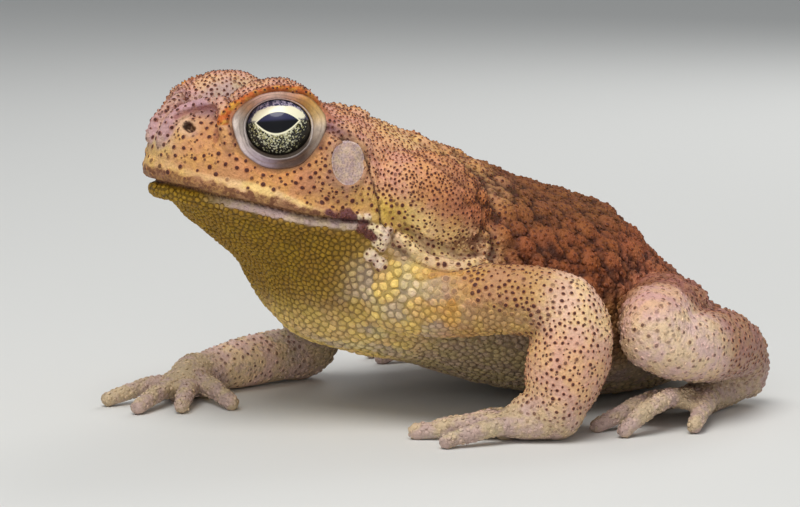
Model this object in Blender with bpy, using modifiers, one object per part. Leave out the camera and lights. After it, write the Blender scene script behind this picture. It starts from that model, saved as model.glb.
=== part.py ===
"""A cane toad at rest, life size, in 21 solid parts.

The toad faces -Y, its left side is +X and it sits on the plane z = 0. Sizes below are in
millimetres and the meshes are made in metres. The flesh is modelled whole from lofts, bent
tubes and ellipsoids, fused, smoothed and given its warts and pits, and then parted with thin
cuts where one part of the body meets the next. The eyeballs are made separately and sit in
sockets.
"""

import math

import bmesh
import bpy
import numpy as np
from mathutils import Matrix, Vector

# General sizes
MM = 0.001
GAP = 0.3
VOXEL = 0.7
FLESH_TRIANGLES = 9600

# Trunk from snout to vent: y, top, bottom, half width, height of the widest line,
# squareness on top, keel below
TRUNK = (
    (-61.9, 49.4, 47.4, 0.6, 48.4, 1.0, 1.0),
    (-61.3, 52.2, 46.4, 3.8, 48.6, 1.0, 1.0),
    (-59.7, 55.6, 44.8, 7.2, 48.2, 0.95, 1.0),
    (-56.6, 58.0, 42.2, 11.0, 47.4, 0.85, 1.05),
    (-52.0, 59.6, 37.6, 15.2, 46.0, 0.75, 1.1),
    (-46.0, 60.0, 32.6, 18.8, 44.6, 0.7, 1.1),
    (-40.0, 60.0, 27.2, 21.6, 43.0, 0.7, 1.1),
    (-34.0, 59.6, 17.4, 23.8, 41.6, 0.75, 1.05),
    (-27.0, 58.8, 13.0, 25.8, 37.5, 0.9, 0.9),
    (-18.0, 56.2, 10.6, 28.0, 32.5, 1.0, 0.84),
    (-8.0, 51.8, 8.2, 30.4, 28.0, 1.0, 0.86),
    (2.0, 47.6, 4.6, 32.4, 24.5, 1.0, 0.9),
    (12.0, 43.2, 2.0, 33.2, 21.0, 1.0, 0.9),
    (22.0, 40.0, 0.3, 31.6, 18.5, 1.0, 0.9),
    (30.0, 37.6, -0.6, 27.6, 16.6, 1.0, 0.9),
    (35.6, 33.8, -0.6, 23.4, 14.6, 1.0, 0.9),
    (40.4, 29.0, -0.4, 20.4, 13.4, 1.0, 0.9),
    (45.5, 24.8, 0.4, 17.6, 12.2, 1.0, 0.95),
    (51.5, 20.2, 1.8, 14.4, 11.0, 1.0, 1.0),
    (57.0, 16.2, 4.0, 10.4, 10.0, 1.0, 1.0),
    (60.8, 13.8, 6.2, 6.4, 9.8, 1.0, 1.0),
    (62.4, 12.0, 7.8, 3.4, 9.8, 1.0, 1.0),
)
TRUNK_STEPS = 5
TRUNK_SIDES = 48

# How finely the tubes are made: steps to a span, sides round, rings of their round ends, and the
# direction that the first point of each ring is turned from
LIMB_STEPS = 5
LIMB_SIDES = 16
RIDGE_STEPS = 3
RIDGE_SIDES = 12
END_SHARES = (0.985, 0.86, 0.62, 0.34)
TUBE_LEAN = (0.0, 0.31, 0.95)

# Head, its left side: tubes are points of a middle line with a radius at each
EYE_CENTRE = (11.0, -40.6, 55.4)
EYE_RADIUS = 7.0
EYE_AXIS = (0.883, -0.450, 0.1305)
EYE_OPENING = (6.3, 5.4)
LID_CENTRE = (10.2, -41.8, 56.0)
LID_SIZE = (7.6, 10.4, 8.8)
LID_ROLL = ((-8.0, 7.3), (-6.2, 6.4), 3.0)
LID_ROLL_RADIUS = (1.0, 1.5)
LID_ROLL_POINTS = 19
OPENING_SIDES = 24
EYEBALL_GRID = (24, 14)
LID_EDGE = ((13.0, -51.4, 56.8, 0.8), (12.6, -51.0, 59.0, 1.0), (13.2, -49.0, 61.0, 1.1),
            (13.9, -46.6, 62.2, 1.1), (14.3, -44.0, 62.8, 1.1), (14.6, -41.4, 62.9, 1.1),
            (14.9, -38.8, 62.5, 1.1), (15.4, -36.8, 61.5, 1.1), (16.0, -35.4, 60.2, 1.0),
            (16.6, -34.6, 58.4, 0.9))
CANTHUS = ((9.4, -51.2, 59.6, 1.3), (6.6, -52.6, 59.2, 1.3), (4.2, -54.2, 58.4, 1.3),
           (2.8, -56.6, 57.1, 1.2), (2.2, -59.0, 55.2, 1.2), (1.8, -60.4, 53.0, 1.0))
BEFORE_EYE = ((9.4, -51.2, 59.6, 1.2), (11.0, -51.7, 58.6, 1.2), (12.0, -51.9, 56.4, 1.1),
              (13.2, -51.4, 53.4, 0.8))
CROWN = ((9.4, -51.0, 59.6, 1.2), (7.0, -47.2, 60.3, 1.2), (6.4, -42.0, 60.9, 1.2),
         (7.8, -36.8, 60.9, 1.2), (11.2, -33.4, 59.6, 1.2), (15.4, -34.0, 58.2, 1.2))
EAR_RIDGE = ((16.0, -35.2, 57.8, 1.2), (17.2, -33.0, 56.2, 1.5), (18.8, -30.4, 54.6, 1.5),
             (20.6, -28.0, 52.2, 1.3))
UPPER_LIP = ((0.0, -60.6, 48.8, 2.0), (5.4, -58.8, 48.2, 2.1), (10.2, -55.4, 46.8, 2.1),
             (14.4, -50.4, 45.4, 1.9), (17.8, -45.0, 44.2, 1.7), (20.6, -40.2, 42.6, 1.5),
             (22.8, -35.4, 41.0, 1.3))
LOWER_LIP = ((0.0, -60.2, 44.4, 1.3), (5.6, -57.9, 43.4, 1.3), (11.6, -52.8, 42.0, 1.2),
             (15.6, -47.6, 40.8, 1.2), (19.0, -41.8, 39.2, 1.2), (22.0, -36.0, 38.2, 1.2),
             (23.6, -32.0, 37.6, 1.1))
NOSTRIL = ((6.0, -58.6, 57.2), (6.7, -57.8, 56.3), (7.5, -57.0, 55.2))
NOSTRIL_WIDTH = 0.9
NOSTRIL_DEPTH = 1.6
CHEEK_HOLLOW = (10.0, -56.6, 53.6)
CHEEK_HOLLOW_SIZE = (3.6, 0.9)
EAR_CENTRE = (22.6, -32.0, 49.8)
EAR_SIZE = (3.6, 4.4)
EAR_NORMAL = (0.94, -0.06, 0.33)
EAR_REACH = 4.0
EAR_DEPTH = 1.0
EAR_SIDES = 20
MOUTH_WARTS = ((24.6, -35.0, 40.8, 1.1), (24.9, -30.3, 38.2, 1.9), (25.5, -27.4, 36.2, 1.8),
               (25.6, -26.8, 33.6, 1.3), (26.9, -22.6, 36.4, 1.5), (27.7, -19.6, 34.4, 1.4))
MOUTH_WART_SINK = 0.3

# Parotoid glands: centre, half lengths and the direction that the long axis takes
GLAND_CENTRE = (21.4, -15.6, 41.2)
GLAND_SIZE = (12.8, 9.4, 8.8)
GLAND_AXIS = (0.22, 0.84, -0.48)
GLAND_DEPTH = 6.0
GLAND_SHIFT = 4.6
SHOULDER_FOLD = ((25.0, -25.0, 35.4, 1.1), (26.2, -21.8, 33.2, 1.2), (28.4, -18.0, 31.2, 1.3),
                 (30.4, -14.4, 30.6, 1.5), (30.0, -9.6, 30.6, 1.3), (29.0, -5.6, 30.8, 1.0))

# Large warts of the back: some by place, the others strewn on the trunk between the limits given
PLACED_WARTS = ((25.2, -0.9, 39.7, 2.3), (25.0, 3.0, 38.6, 2.0), (21.6, 9.4, 38.8, 1.9),
                (18.4, 15.8, 38.1, 2.0), (14.8, 21.3, 37.8, 1.9), (9.6, 30.4, 37.0, 2.1),
                (28.2, 6.6, 34.6, 1.8), (27.0, 11.4, 34.2, 1.9), (29.9, 1.0, 33.2, 1.9),
                (29.7, 14.9, 29.7, 2.0), (22.8, 28.5, 30.0, 2.5), (28.3, 20.4, 29.2, 2.0),
                (23.1, 33.0, 26.4, 2.1), (4.4, -21.0, 56.6, 1.9), (10.4, -10.4, 51.4, 2.0),
                (11.0, -6.0, 49.6, 1.8))
WART_SEED = 21
WART_TRIES = 1400
WART_RADIUS = (1.6, 2.2)
WART_REACH = (-19.0, 56.0)
WART_TURN = (-12.0, 192.0)
WART_SPACING = 1.3
WART_SPREAD = 1.2
WART_HEIGHT = 0.42
WART_ROUNDS = 2

# Arms: points of the middle line with a radius at each
NEAR_ARM = ((22.0, -20.0, 26.0, 8.8), (29.0, -13.6, 24.6, 7.4), (35.6, -8.0, 24.8, 6.3),
            (40.2, -2.4, 24.6, 6.5), (43.6, 2.0, 22.6, 6.8), (45.4, 2.2, 17.0, 7.6),
            (47.0, -0.4, 10.5, 7.2), (48.4, -2.6, 5.4, 5.2))
FAR_ARM = ((-21.0, -19.0, 25.0, 9.0), (-27.0, -15.6, 17.6, 7.4), (-32.4, -12.8, 10.6, 6.0),
           (-35.0, -13.6, 5.6, 5.2), (-33.2, -21.0, 5.3, 5.1), (-30.4, -30.0, 4.9, 4.8),
           (-28.4, -38.0, 4.2, 4.0), (-28.0, -40.5, 3.9, 3.8))
PALM_LENGTH = 9.0
PALM_SIZE = (5.2, 7.4, 2.9)
PALM_HEIGHT = 3.0
WRIST_RADII = (4.2, 3.6, 2.8)
PALM_END_HEIGHT = 2.4
FINGERS = ((-44.0, 15.0), (-14.0, 17.5), (6.0, 20.5), (34.0, 16.5))
FINGER_RADIUS = 1.7
FINGER_SHAPE = ((0.0, 2.8, 1.25), (0.45, 3.0, 1.0), (0.75, 2.2, 0.92), (1.0, 1.35, 0.85))
FINGER_ROOT = (0.55, 3.4)
NEAR_HEADING = -35.0
FAR_HEADING = 46.0

# Hind legs
LEG = ((11.0, 43.0, 12.6, 8.6), (21.0, 37.4, 14.6, 9.2), (32.0, 30.0, 17.6, 8.6),
       (41.6, 22.8, 19.4, 7.0), (46.0, 19.4, 19.2, 6.4))
SHANK = ((46.0, 19.4, 17.0, 6.2), (46.2, 24.4, 15.2, 6.3), (42.4, 33.0, 14.0, 6.7),
         (36.6, 41.4, 12.6, 6.3), (32.8, 46.6, 9.8, 5.0), (31.2, 49.0, 7.4, 4.4))
TARSUS = ((31.2, 48.6, 5.4, 4.2), (32.6, 43.0, 3.6, 3.4), (35.2, 36.4, 3.0, 3.6))
TOES = (
    ((34.4, 36.0, 3.0), (33.4, 31.0, 2.5), (33.6, 27.0, 1.2)),
    ((35.2, 35.0, 3.2), (36.2, 28.0, 3.2), (37.6, 22.0, 2.4), (38.4, 17.6, 1.2)),
    ((36.4, 34.6, 3.3), (39.4, 27.0, 4.2), (42.2, 19.2, 4.2), (44.0, 12.6, 2.6), (44.4, 8.4, 1.2)),
    ((37.8, 34.6, 3.4), (43.4, 27.6, 4.6), (48.6, 20.6, 5.9), (51.0, 14.6, 4.4), (51.8, 9.8, 1.2)),
    ((38.6, 36.0, 3.4), (44.6, 31.6, 3.6), (50.4, 26.8, 3.0), (54.0, 23.4, 1.2)),
)
TOE_RADIUS = 1.7
TOE_TAPER = (1.15, 0.85)
WEB_REACH = (0.05, 0.55)
WEB_THICKNESS = 1.6
WEB_ROWS = 9

# Smoothing: rounds, the share each point moves in and out again, and how much the soles keep
RELAX_ROUNDS = 12
RELAX_SHARES = (0.6, -0.56)
SOLE_HEIGHT = 4.0
SOLE_KEEP = 0.75
SHARP_ANGLE = 50.0

# A normal whose level part is shorter than this counts as upright
UPRIGHT_LIMIT = 0.1

# Cuts: centre, normal, half width and half height of each thin plate
NECK_CUT = ((0.0, -28.8, 40.0), (0.0, 0.935, -0.354), 34.0, 27.5)
MOUTH_CUT = ((0.0, -48.0, 42.86), (0.0, 0.246, 0.969), 34.0, 21.0)
NEAR_SHOULDER_CUT = ((29.5, -15.0, 24.4), (0.978, -0.207, 0.0), 15.0, 10.2)
FAR_SHOULDER_CUT = ((-27.0, -15.5, 18.0), (-0.75, -0.15, -0.64), 13.0, 11.0)
NEAR_ELBOW_CUT = ((43.6, 2.0, 22.4), (0.556, 0.484, -0.677), 12.0, 12.0)
FAR_ELBOW_CUT = ((-34.6, -13.8, 6.6), (-0.151, -0.762, -0.63), 12.0, 12.0)
NEAR_WRIST_CUT = ((48.2, -2.2, 6.8), (0.0, 0.0, -1.0), 10.0, 10.0)
FAR_WRIST_CUT = ((-28.7, -37.0, 5.0), (0.24, -0.97, -0.08), 12.0, 12.0)
HIP_CUT = ((25.2, 37.0, 14.0), (0.831, 0.557, 0.0), 28.0, 17.0)
KNEE_CUT = ((38.2, 30.0, 17.8), (0.76, 0.575, -0.286), 25.5, 12.2)
ANKLE_CUT = ((32.0, 45.0, 6.8), (0.0, 0.0, -1.0), 11.0, 14.0)

# Looks of the parts: colour, roughness
SKIN_COLOURS = {
    "warty": ((0.30, 0.115, 0.065), 0.62),
    "head": ((0.44, 0.20, 0.075), 0.55),
    "throat": ((0.42, 0.27, 0.075), 0.6),
    "gland": ((0.50, 0.19, 0.10), 0.6),
    "limb": ((0.56, 0.33, 0.18), 0.6),
    "foot": ((0.55, 0.42, 0.30), 0.6),
    "eardrum": ((0.40, 0.31, 0.26), 0.5),
    "eye": ((0.05, 0.035, 0.012), 0.08),
}


def clear_scene():
    """Empty the file of objects and meshes before anything is made."""
    for thing in list(bpy.data.objects):
        bpy.data.objects.remove(thing)
    for mesh in list(bpy.data.meshes):
        bpy.data.meshes.remove(mesh)


def new_collection(name):
    """A collection of this name under the scene."""
    group = bpy.data.collections.new(name)
    bpy.context.scene.collection.children.link(group)
    return group


def smooth_rows(rows, steps):
    """Rows on a Catmull-Rom curve through the given rows, with this many steps to a span."""
    rows = np.asarray(rows, float)
    first = 2 * rows[0] - rows[1]
    last = 2 * rows[-1] - rows[-2]
    padded = np.vstack([first, rows, last])
    result = []
    for i in range(1, len(rows)):
        a, b, c, d = padded[i - 1:i + 3]
        for t in np.arange(steps) / steps:
            bend = 2 * a - 5 * b + 4 * c - d
            twist = 3 * b - a - 3 * c + d
            result.append(0.5 * (2 * b + (c - a) * t + bend * t ** 2 + twist * t ** 3))
    result.append(rows[-1])
    return np.array(result)


def mesh_object(name, vertices, faces):
    """An object with a mesh made from points in millimetres."""
    mesh = bpy.data.meshes.new(name)
    mesh.from_pydata([tuple(point) for point in np.asarray(vertices) * MM], [], faces)
    thing = bpy.data.objects.new(name, mesh)
    bpy.context.scene.collection.objects.link(thing)
    return thing


def loft(name, rings):
    """A closed body through rings of equal count, its ends drawn to a point."""
    rings = np.asarray(rings)
    count, sides = rings.shape[:2]
    vertices = rings.reshape(-1, 3).tolist()
    faces = []
    for i in range(count - 1):
        for j in range(sides):
            k = (j + 1) % sides
            faces.append((i * sides + j, i * sides + k, (i + 1) * sides + k, (i + 1) * sides + j))
    for ring, turn in ((0, -1), (count - 1, 1)):
        middle = len(vertices)
        vertices.append(rings[ring].mean(axis=0).tolist())
        for j in range(sides):
            k = (j + 1) % sides
            edge = (ring * sides + j, ring * sides + k)
            faces.append((edge[0], edge[1], middle)[::turn])
    body = mesh_object(name, vertices, faces)
    work = bmesh.new()
    work.from_mesh(body.data)
    bmesh.ops.recalc_face_normals(work, faces=work.faces)
    work.to_mesh(body.data)
    work.free()
    return body


def skin_point(top, bottom, half, middle, square, keel, turn):
    """Across and up on one upright section of the trunk, at these turns up from the level line."""
    across, rise = np.cos(turn), np.sin(turn)
    power = np.where(rise > 0, square, keel)
    x = half * np.sign(across) * np.abs(across) ** power
    reach = np.where(rise > 0, top - middle, bottom - middle)
    return x, middle + reach * np.abs(rise) ** power


def trunk():
    """Head and body in one loft from snout to vent."""
    turn = np.linspace(0, 2 * math.pi, TRUNK_SIDES, endpoint=False)
    rings = []
    for row in smooth_rows(TRUNK, TRUNK_STEPS):
        x, z = skin_point(*row[1:], turn)
        rings.append(np.stack([x, np.full_like(x, row[0]), z], axis=1))
    return loft("trunk", rings)


def tube(name, rows, steps=LIMB_STEPS, sides=LIMB_SIDES):
    """A bent tube with round ends, whose rows give points and radii."""
    rows = smooth_rows(rows, steps)
    path = rows[:, :3]
    radii = rows[:, 3]
    rings = []
    side = None
    for i, centre in enumerate(path):
        ahead = path[min(i + 1, len(path) - 1)] - path[max(i - 1, 0)]
        ahead = ahead / np.linalg.norm(ahead)
        if side is None:
            side = np.cross(ahead, TUBE_LEAN)
        side = side - ahead * side.dot(ahead)
        side = side / np.linalg.norm(side)
        up = np.cross(ahead, side)
        angle = np.linspace(0, 2 * math.pi, sides, endpoint=False)
        circle = np.outer(np.cos(angle), side) + np.outer(np.sin(angle), up)
        shifts = [(0.0, 1.0)]
        if i == 0:
            shifts = [(-share, math.sqrt(1 - share ** 2)) for share in END_SHARES] + shifts
        if i == len(path) - 1:
            shifts += [(share, math.sqrt(1 - share ** 2)) for share in END_SHARES[::-1]]
        for along, width in shifts:
            rings.append(centre + ahead * along * radii[i] + circle * radii[i] * width)
    return loft(name, rings)


def ellipsoid(name, centre, half_sizes, axis=(0.0, 1.0, 0.0), segments=20, rings=12):
    """A sphere stretched to half sizes, its second one along the given axis."""
    bpy.ops.mesh.primitive_uv_sphere_add(segments=segments, ring_count=rings, radius=MM)
    ball = bpy.context.object
    ball.name = name
    turn = Vector((0.0, 1.0, 0.0)).rotation_difference(Vector(axis))
    stretch = Matrix.Diagonal((*half_sizes, 1.0))
    place = Matrix.Translation(Vector(centre) * MM)
    ball.data.transform(place @ turn.to_matrix().to_4x4() @ stretch)
    return ball


def facing(normal):
    """A level direction, a rising one and the normal itself, all at right angles."""
    normal = Vector(normal).normalized()
    level = Vector((0.0, 0.0, 1.0)).cross(normal)
    if level.length < UPRIGHT_LIMIT:
        level = Vector((1.0, 0.0, 0.0))
    level.normalize()
    return level, normal.cross(level), normal


def turned(normal):
    """The turn that carries X, Y and Z to the three directions of facing."""
    return Matrix(facing(normal)).transposed().to_4x4()


def lid_roll():
    """The rounded rim of the lids round the left eye, wider behind and below."""
    level, rising, axis = (np.array(way) for way in facing(EYE_AXIS))
    (front, back), (below, above), depth = LID_ROLL
    rows = []
    for turn in np.linspace(0, 2 * math.pi, LID_ROLL_POINTS):
        along, up = math.cos(turn), math.sin(turn)
        reach = (back if along > 0 else -front) * along
        rise = (above if up > 0 else -below) * up
        spot = np.array(EYE_CENTRE) + level * reach + rising * rise + axis * depth
        radius = LID_ROLL_RADIUS[0] + (LID_ROLL_RADIUS[1] - LID_ROLL_RADIUS[0]) * (1 - up) / 2
        rows.append((*spot, radius))
    return rows


def head_forms(side):
    """Eye bulge, lids, crests and lips of one side of the head."""
    flip = np.array((side, 1.0, 1.0, 1.0))
    forms = [ellipsoid("eye_bulge", np.array(LID_CENTRE) * flip[:3], LID_SIZE)]
    for name, rows in (("lid_roll", lid_roll()), ("lid_edge", LID_EDGE), ("canthus", CANTHUS),
                       ("before_eye", BEFORE_EYE), ("crown", CROWN), ("ear_ridge", EAR_RIDGE),
                       ("upper_lip", UPPER_LIP), ("lower_lip", LOWER_LIP),
                       ("shoulder_fold", SHOULDER_FOLD)):
        forms.append(tube(name, np.array(rows) * flip, RIDGE_STEPS, RIDGE_SIDES))
    for x, y, z, radius in MOUTH_WARTS:
        spot = ((x - MOUTH_WART_SINK) * side, y, z)
        forms.append(ellipsoid("mouth_wart", spot, (radius,) * 3))
    return forms


def gland_forms(side):
    """The parotoid gland behind one eye, as the swelling that it makes."""
    half = (GLAND_SIZE[2], GLAND_SIZE[0], GLAND_SIZE[1])
    return [ellipsoid("gland", mirrored(GLAND_CENTRE, side), half, mirrored(GLAND_AXIS, side))]


def hand_forms(wrist, heading):
    """Palm and four fingers that spread from the wrist, flat on the ground."""
    forms = []
    wrist = np.array(wrist[:3])
    ahead = np.array((math.sin(heading), -math.cos(heading), 0.0))
    across = np.array((math.cos(heading), math.sin(heading), 0.0))
    palm = wrist + ahead * PALM_LENGTH
    mid = 0.5 * (wrist + palm)
    forms.append(ellipsoid("palm", (mid[0], mid[1], PALM_HEIGHT), PALM_SIZE, ahead))
    palm[2] = PALM_END_HEIGHT
    forms.append(tube("wrist", np.column_stack([(wrist, mid, palm), WRIST_RADII])))
    for angle, length in FINGERS:
        turn = math.radians(angle) * math.copysign(1.0, wrist[0])
        way = ahead * math.cos(turn) + across * math.sin(turn)
        root = wrist + ahead * PALM_LENGTH * FINGER_ROOT[0]
        root = root + across * math.sin(turn) * FINGER_ROOT[1]
        points = []
        for share, height, width in FINGER_SHAPE:
            spot = root + way * length * share
            points.append((spot[0], spot[1], height, FINGER_RADIUS * width))
        forms.append(tube("finger", points))
    return forms


def web(first, second):
    """A thin skin between the lower parts of two toes."""
    one = smooth_rows(first, LIMB_STEPS)
    two = smooth_rows(second, LIMB_STEPS)
    rings = []
    for share in np.linspace(*WEB_REACH, WEB_ROWS):
        a = one[int(round(share * (len(one) - 1)))][:3]
        b = two[int(round(share * (len(two) - 1)))][:3]
        fall = np.array((0.0, 0.0, WEB_THICKNESS / 2))
        rings.append([a + fall, b + fall, b - fall, a - fall])
    return loft("web", rings)


def foot_forms(side):
    """Tarsus, five toes and the webs between them."""
    flip = np.array((side, 1.0, 1.0))
    forms = [tube("tarsus", np.array(TARSUS) * (*flip, 1.0))]
    toes = [np.array(toe) * flip for toe in TOES]
    for toe in toes:
        radius = np.linspace(*TOE_TAPER, len(toe)) * TOE_RADIUS
        forms.append(tube("toe", np.column_stack([toe, radius])))
    for first, second in zip(toes[:-1], toes[1:]):
        forms.append(web(first, second))
    return forms


def leg_forms(side):
    """Thigh and shank of one folded hind leg."""
    flip = np.array((side, 1.0, 1.0, 1.0))
    return [tube("thigh", np.array(LEG) * flip), tube("shank", np.array(SHANK) * flip)]


def fuse(name, forms, voxel):
    """One closed mesh from overlapping closed forms, remade on a grid of small cells."""
    bpy.ops.object.select_all(action="DESELECT")
    for form in forms:
        form.select_set(True)
    bpy.context.view_layer.objects.active = forms[0]
    bpy.ops.object.join()
    whole = bpy.context.object
    whole.name = name
    remesh = whole.modifiers.new("fuse", "REMESH")
    remesh.mode = "VOXEL"
    remesh.voxel_size = voxel * MM
    apply_modifiers(whole)
    return whole


def apply_modifiers(thing):
    """Replace an object's mesh by what its modifiers make of it."""
    graph = bpy.context.evaluated_depsgraph_get()
    mesh = bpy.data.meshes.new_from_object(thing.evaluated_get(graph))
    thing.modifiers.clear()
    thing.data = mesh


def read_points(mesh):
    """The mesh's vertices as an array in millimetres."""
    points = np.empty(len(mesh.vertices) * 3)
    mesh.vertices.foreach_get("co", points)
    return points.reshape(-1, 3) / MM


def write_points(mesh, points):
    """Put an array of points in millimetres back into the mesh."""
    mesh.vertices.foreach_set("co", (points * MM).ravel())
    mesh.update()


def read_normals(mesh):
    """The vertex normals as an array."""
    normals = np.empty(len(mesh.vertices) * 3)
    mesh.vertices.foreach_get("normal", normals)
    return normals.reshape(-1, 3)


def relax(mesh, rounds):
    """Even out the surface: points move to the mean of their neighbours, less on the soles."""
    edges = np.empty(len(mesh.edges) * 2, dtype=np.int64)
    mesh.edges.foreach_get("vertices", edges)
    one, two = edges.reshape(-1, 2).T
    points = read_points(mesh)
    count = np.bincount(one, minlength=len(points)) + np.bincount(two, minlength=len(points))
    share = 1.0 - SOLE_KEEP * (points[:, 2:] < SOLE_HEIGHT)
    for step in range(rounds):
        for weight in RELAX_SHARES:
            total = np.zeros_like(points)
            for axis in range(3):
                total[:, axis] = np.bincount(one, points[two, axis], len(points))
                total[:, axis] += np.bincount(two, points[one, axis], len(points))
            points = points + weight * share * (total / count[:, None] - points)
    write_points(mesh, points)


def line_distance(points, line):
    """How far every point lies from the nearest stretch of a line of points."""
    line = np.array(line)
    best = np.full(len(points), np.inf)
    for start, end in zip(line[:-1], line[1:]):
        way = end - start
        share = np.clip((points - start) @ way / way.dot(way), 0.0, 1.0)
        best = np.minimum(best, np.linalg.norm(points - start - share[:, None] * way, axis=1))
    return best


def large_warts():
    """Middle and radius of each large wart: the placed ones on both sides and others between."""
    flip = np.array((-1.0, 1.0, 1.0, 1.0))
    warts = [np.array(wart) for wart in PLACED_WARTS]
    warts += [wart * flip for wart in warts]
    rows = smooth_rows(TRUNK, TRUNK_STEPS)
    draw = np.random.default_rng(WART_SEED)
    for attempt in range(WART_TRIES):
        y = draw.uniform(*WART_REACH)
        turn = math.radians(draw.uniform(*WART_TURN))
        radius = draw.uniform(*WART_RADIUS)
        row = [np.interp(y, rows[:, 0], column) for column in rows[:, 1:].T]
        x, z = skin_point(*row, turn)
        spot = np.array((float(x), y, float(z)))
        others = np.array(warts)
        room = np.linalg.norm(others[:, :3] - spot, axis=1)
        if (room > WART_SPACING * (radius + others[:, 3])).all():
            warts.append(np.array((*spot, radius)))
    return np.array(warts)


def raise_warts(mesh, warts):
    """Push a round dome out of the skin at every wart, along the mean normal there."""
    points = read_points(mesh)
    normals = read_normals(mesh)
    result = points.copy()
    for wart in warts:
        share = np.linalg.norm(points - wart[:3], axis=1) / (wart[3] * WART_SPREAD)
        near = share < 1.0
        if not near.any():
            continue
        out = normals[near].mean(axis=0)
        out = out / np.linalg.norm(out)
        dome = 1.0 - share[near] ** 2
        result[near] += out * (dome * wart[3] * WART_HEIGHT)[:, None]
    write_points(mesh, result)


def press_features(mesh):
    """Press the nostrils and the hollow before each eye into the head."""
    points = read_points(mesh)
    normals = read_normals(mesh)
    near_side = np.abs(points) * (1.0, 0.0, 0.0) + points * (0.0, 1.0, 1.0)
    size, depth = CHEEK_HOLLOW_SIZE
    hollow = np.linalg.norm(near_side - CHEEK_HOLLOW, axis=1) / size
    push = -depth * np.exp(-hollow ** 2)
    slit = line_distance(near_side, NOSTRIL) / NOSTRIL_WIDTH
    push -= NOSTRIL_DEPTH * np.exp(-slit ** 2)
    write_points(mesh, points + normals * push[:, None])


def thin_out(thing, triangles):
    """Bring the mesh down to about this many triangles."""
    thing.data.calc_loop_triangles()
    decimate = thing.modifiers.new("thin_out", "DECIMATE")
    decimate.ratio = triangles / len(thing.data.loop_triangles)
    decimate.use_collapse_triangulate = True
    apply_modifiers(thing)


def flatten_underside(thing):
    """Cut off what lies under the floor and close the mesh with flats at floor level."""
    work = bmesh.new()
    work.from_mesh(thing.data)
    geometry = work.verts[:] + work.edges[:] + work.faces[:]
    bmesh.ops.bisect_plane(work, geom=geometry, plane_co=(0.0, 0.0, 0.0),
                           plane_no=(0.0, 0.0, 1.0), clear_inner=True)
    rim = [edge for edge in work.edges if edge.is_boundary]
    bmesh.ops.holes_fill(work, edges=rim)
    bmesh.ops.triangulate(work, faces=work.faces)
    work.to_mesh(thing.data)
    work.free()


def build_whole():
    """All the flesh in one mesh."""
    forms = [trunk()]
    for side in (1.0, -1.0):
        forms += head_forms(side)
        forms += gland_forms(side)
        forms += leg_forms(side)
        forms += foot_forms(side)
    forms.append(tube("near_arm", NEAR_ARM))
    forms.append(tube("far_arm", FAR_ARM))
    forms += hand_forms(NEAR_ARM[-1], math.radians(NEAR_HEADING))
    forms += hand_forms(FAR_ARM[-1], math.radians(FAR_HEADING))
    whole = fuse("toad", forms, VOXEL)
    relax(whole.data, RELAX_ROUNDS)
    raise_warts(whole.data, large_warts())
    relax(whole.data, WART_ROUNDS)
    press_features(whole.data)
    thin_out(whole, FLESH_TRIANGLES)
    flatten_underside(whole)
    return whole


def place(cutter, centre, normal, half_sizes):
    """Stretch a cutter of unit size and set it at its centre, its Z along the normal."""
    sizes = Matrix.Diagonal((*(Vector(half_sizes) * MM), 1.0))
    cutter.data.transform(Matrix.Translation(Vector(centre) * MM) @ turned(normal) @ sizes)
    return cutter


def plate(centre, normal, half_width, half_height):
    """A thin plate as a cutter: half_width runs level, half_height up or back."""
    bpy.ops.mesh.primitive_cube_add(size=2.0)
    return place(bpy.context.object, centre, normal, (half_width, half_height, GAP / 2))


def drum(centre, normal, half_sizes, sides):
    """An oval cylinder as a cutter."""
    bpy.ops.mesh.primitive_cylinder_add(vertices=sides, radius=1.0, depth=2.0)
    return place(bpy.context.object, centre, normal, half_sizes)


def boolean(thing, cutter, operation):
    """Apply one Boolean to an object and keep the cutter."""
    step = thing.modifiers.new("cut", "BOOLEAN")
    step.object = cutter
    step.operation = operation
    step.solver = "EXACT"
    apply_modifiers(thing)


def loose_parts(thing):
    """Split an object into its separate closed surfaces."""
    bpy.ops.object.select_all(action="DESELECT")
    thing.select_set(True)
    bpy.context.view_layer.objects.active = thing
    bpy.ops.mesh.separate(type="LOOSE")
    return list(bpy.context.selected_objects)


def middle_of(thing):
    """The mean of an object's points, in millimetres."""
    return Vector(read_points(thing.data).mean(axis=0))


def keep_largest(parts, name):
    """Keep the part with the most points under this name and remove the scraps."""
    parts.sort(key=lambda part: len(part.data.vertices))
    best = parts.pop()
    for scrap in parts:
        bpy.data.objects.remove(scrap)
    best.name = name
    return best


def part_at(thing, cut, inner_name, outer_name):
    """Part an object with a thin plate: the outer part lies where the plate's normal points."""
    centre, normal, half_width, half_height = cut
    cutter = plate(centre, normal, half_width, half_height)
    boolean(thing, cutter, "DIFFERENCE")
    bpy.data.objects.remove(cutter)
    inner, outer = [], []
    for part in loose_parts(thing):
        ahead = (middle_of(part) - Vector(centre)).dot(Vector(normal))
        (outer if ahead > 0 else inner).append(part)
    return keep_largest(inner, inner_name), keep_largest(outer, outer_name)


def take_out(thing, name, inner, outer):
    """Lift the part of an object inside one cutter into its own, leaving a bed shaped by the other."""
    piece = thing.copy()
    piece.data = thing.data.copy()
    bpy.context.scene.collection.objects.link(piece)
    boolean(piece, inner, "INTERSECT")
    boolean(thing, outer, "DIFFERENCE")
    for cutter in (inner, outer):
        bpy.data.objects.remove(cutter)
    kept = keep_largest(loose_parts(thing), thing.name)
    return kept, keep_largest(loose_parts(piece), name)


def flipped(cut, side):
    """The same cut on one side or the other."""
    centre, normal, half_width, half_height = cut
    return ((centre[0] * side, *centre[1:]), (normal[0] * side, *normal[1:]), half_width, half_height)


def mirrored(point, side):
    """A point or direction of the left side, or its mirror image where side is -1."""
    return Vector((point[0] * side, point[1], point[2]))


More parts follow.
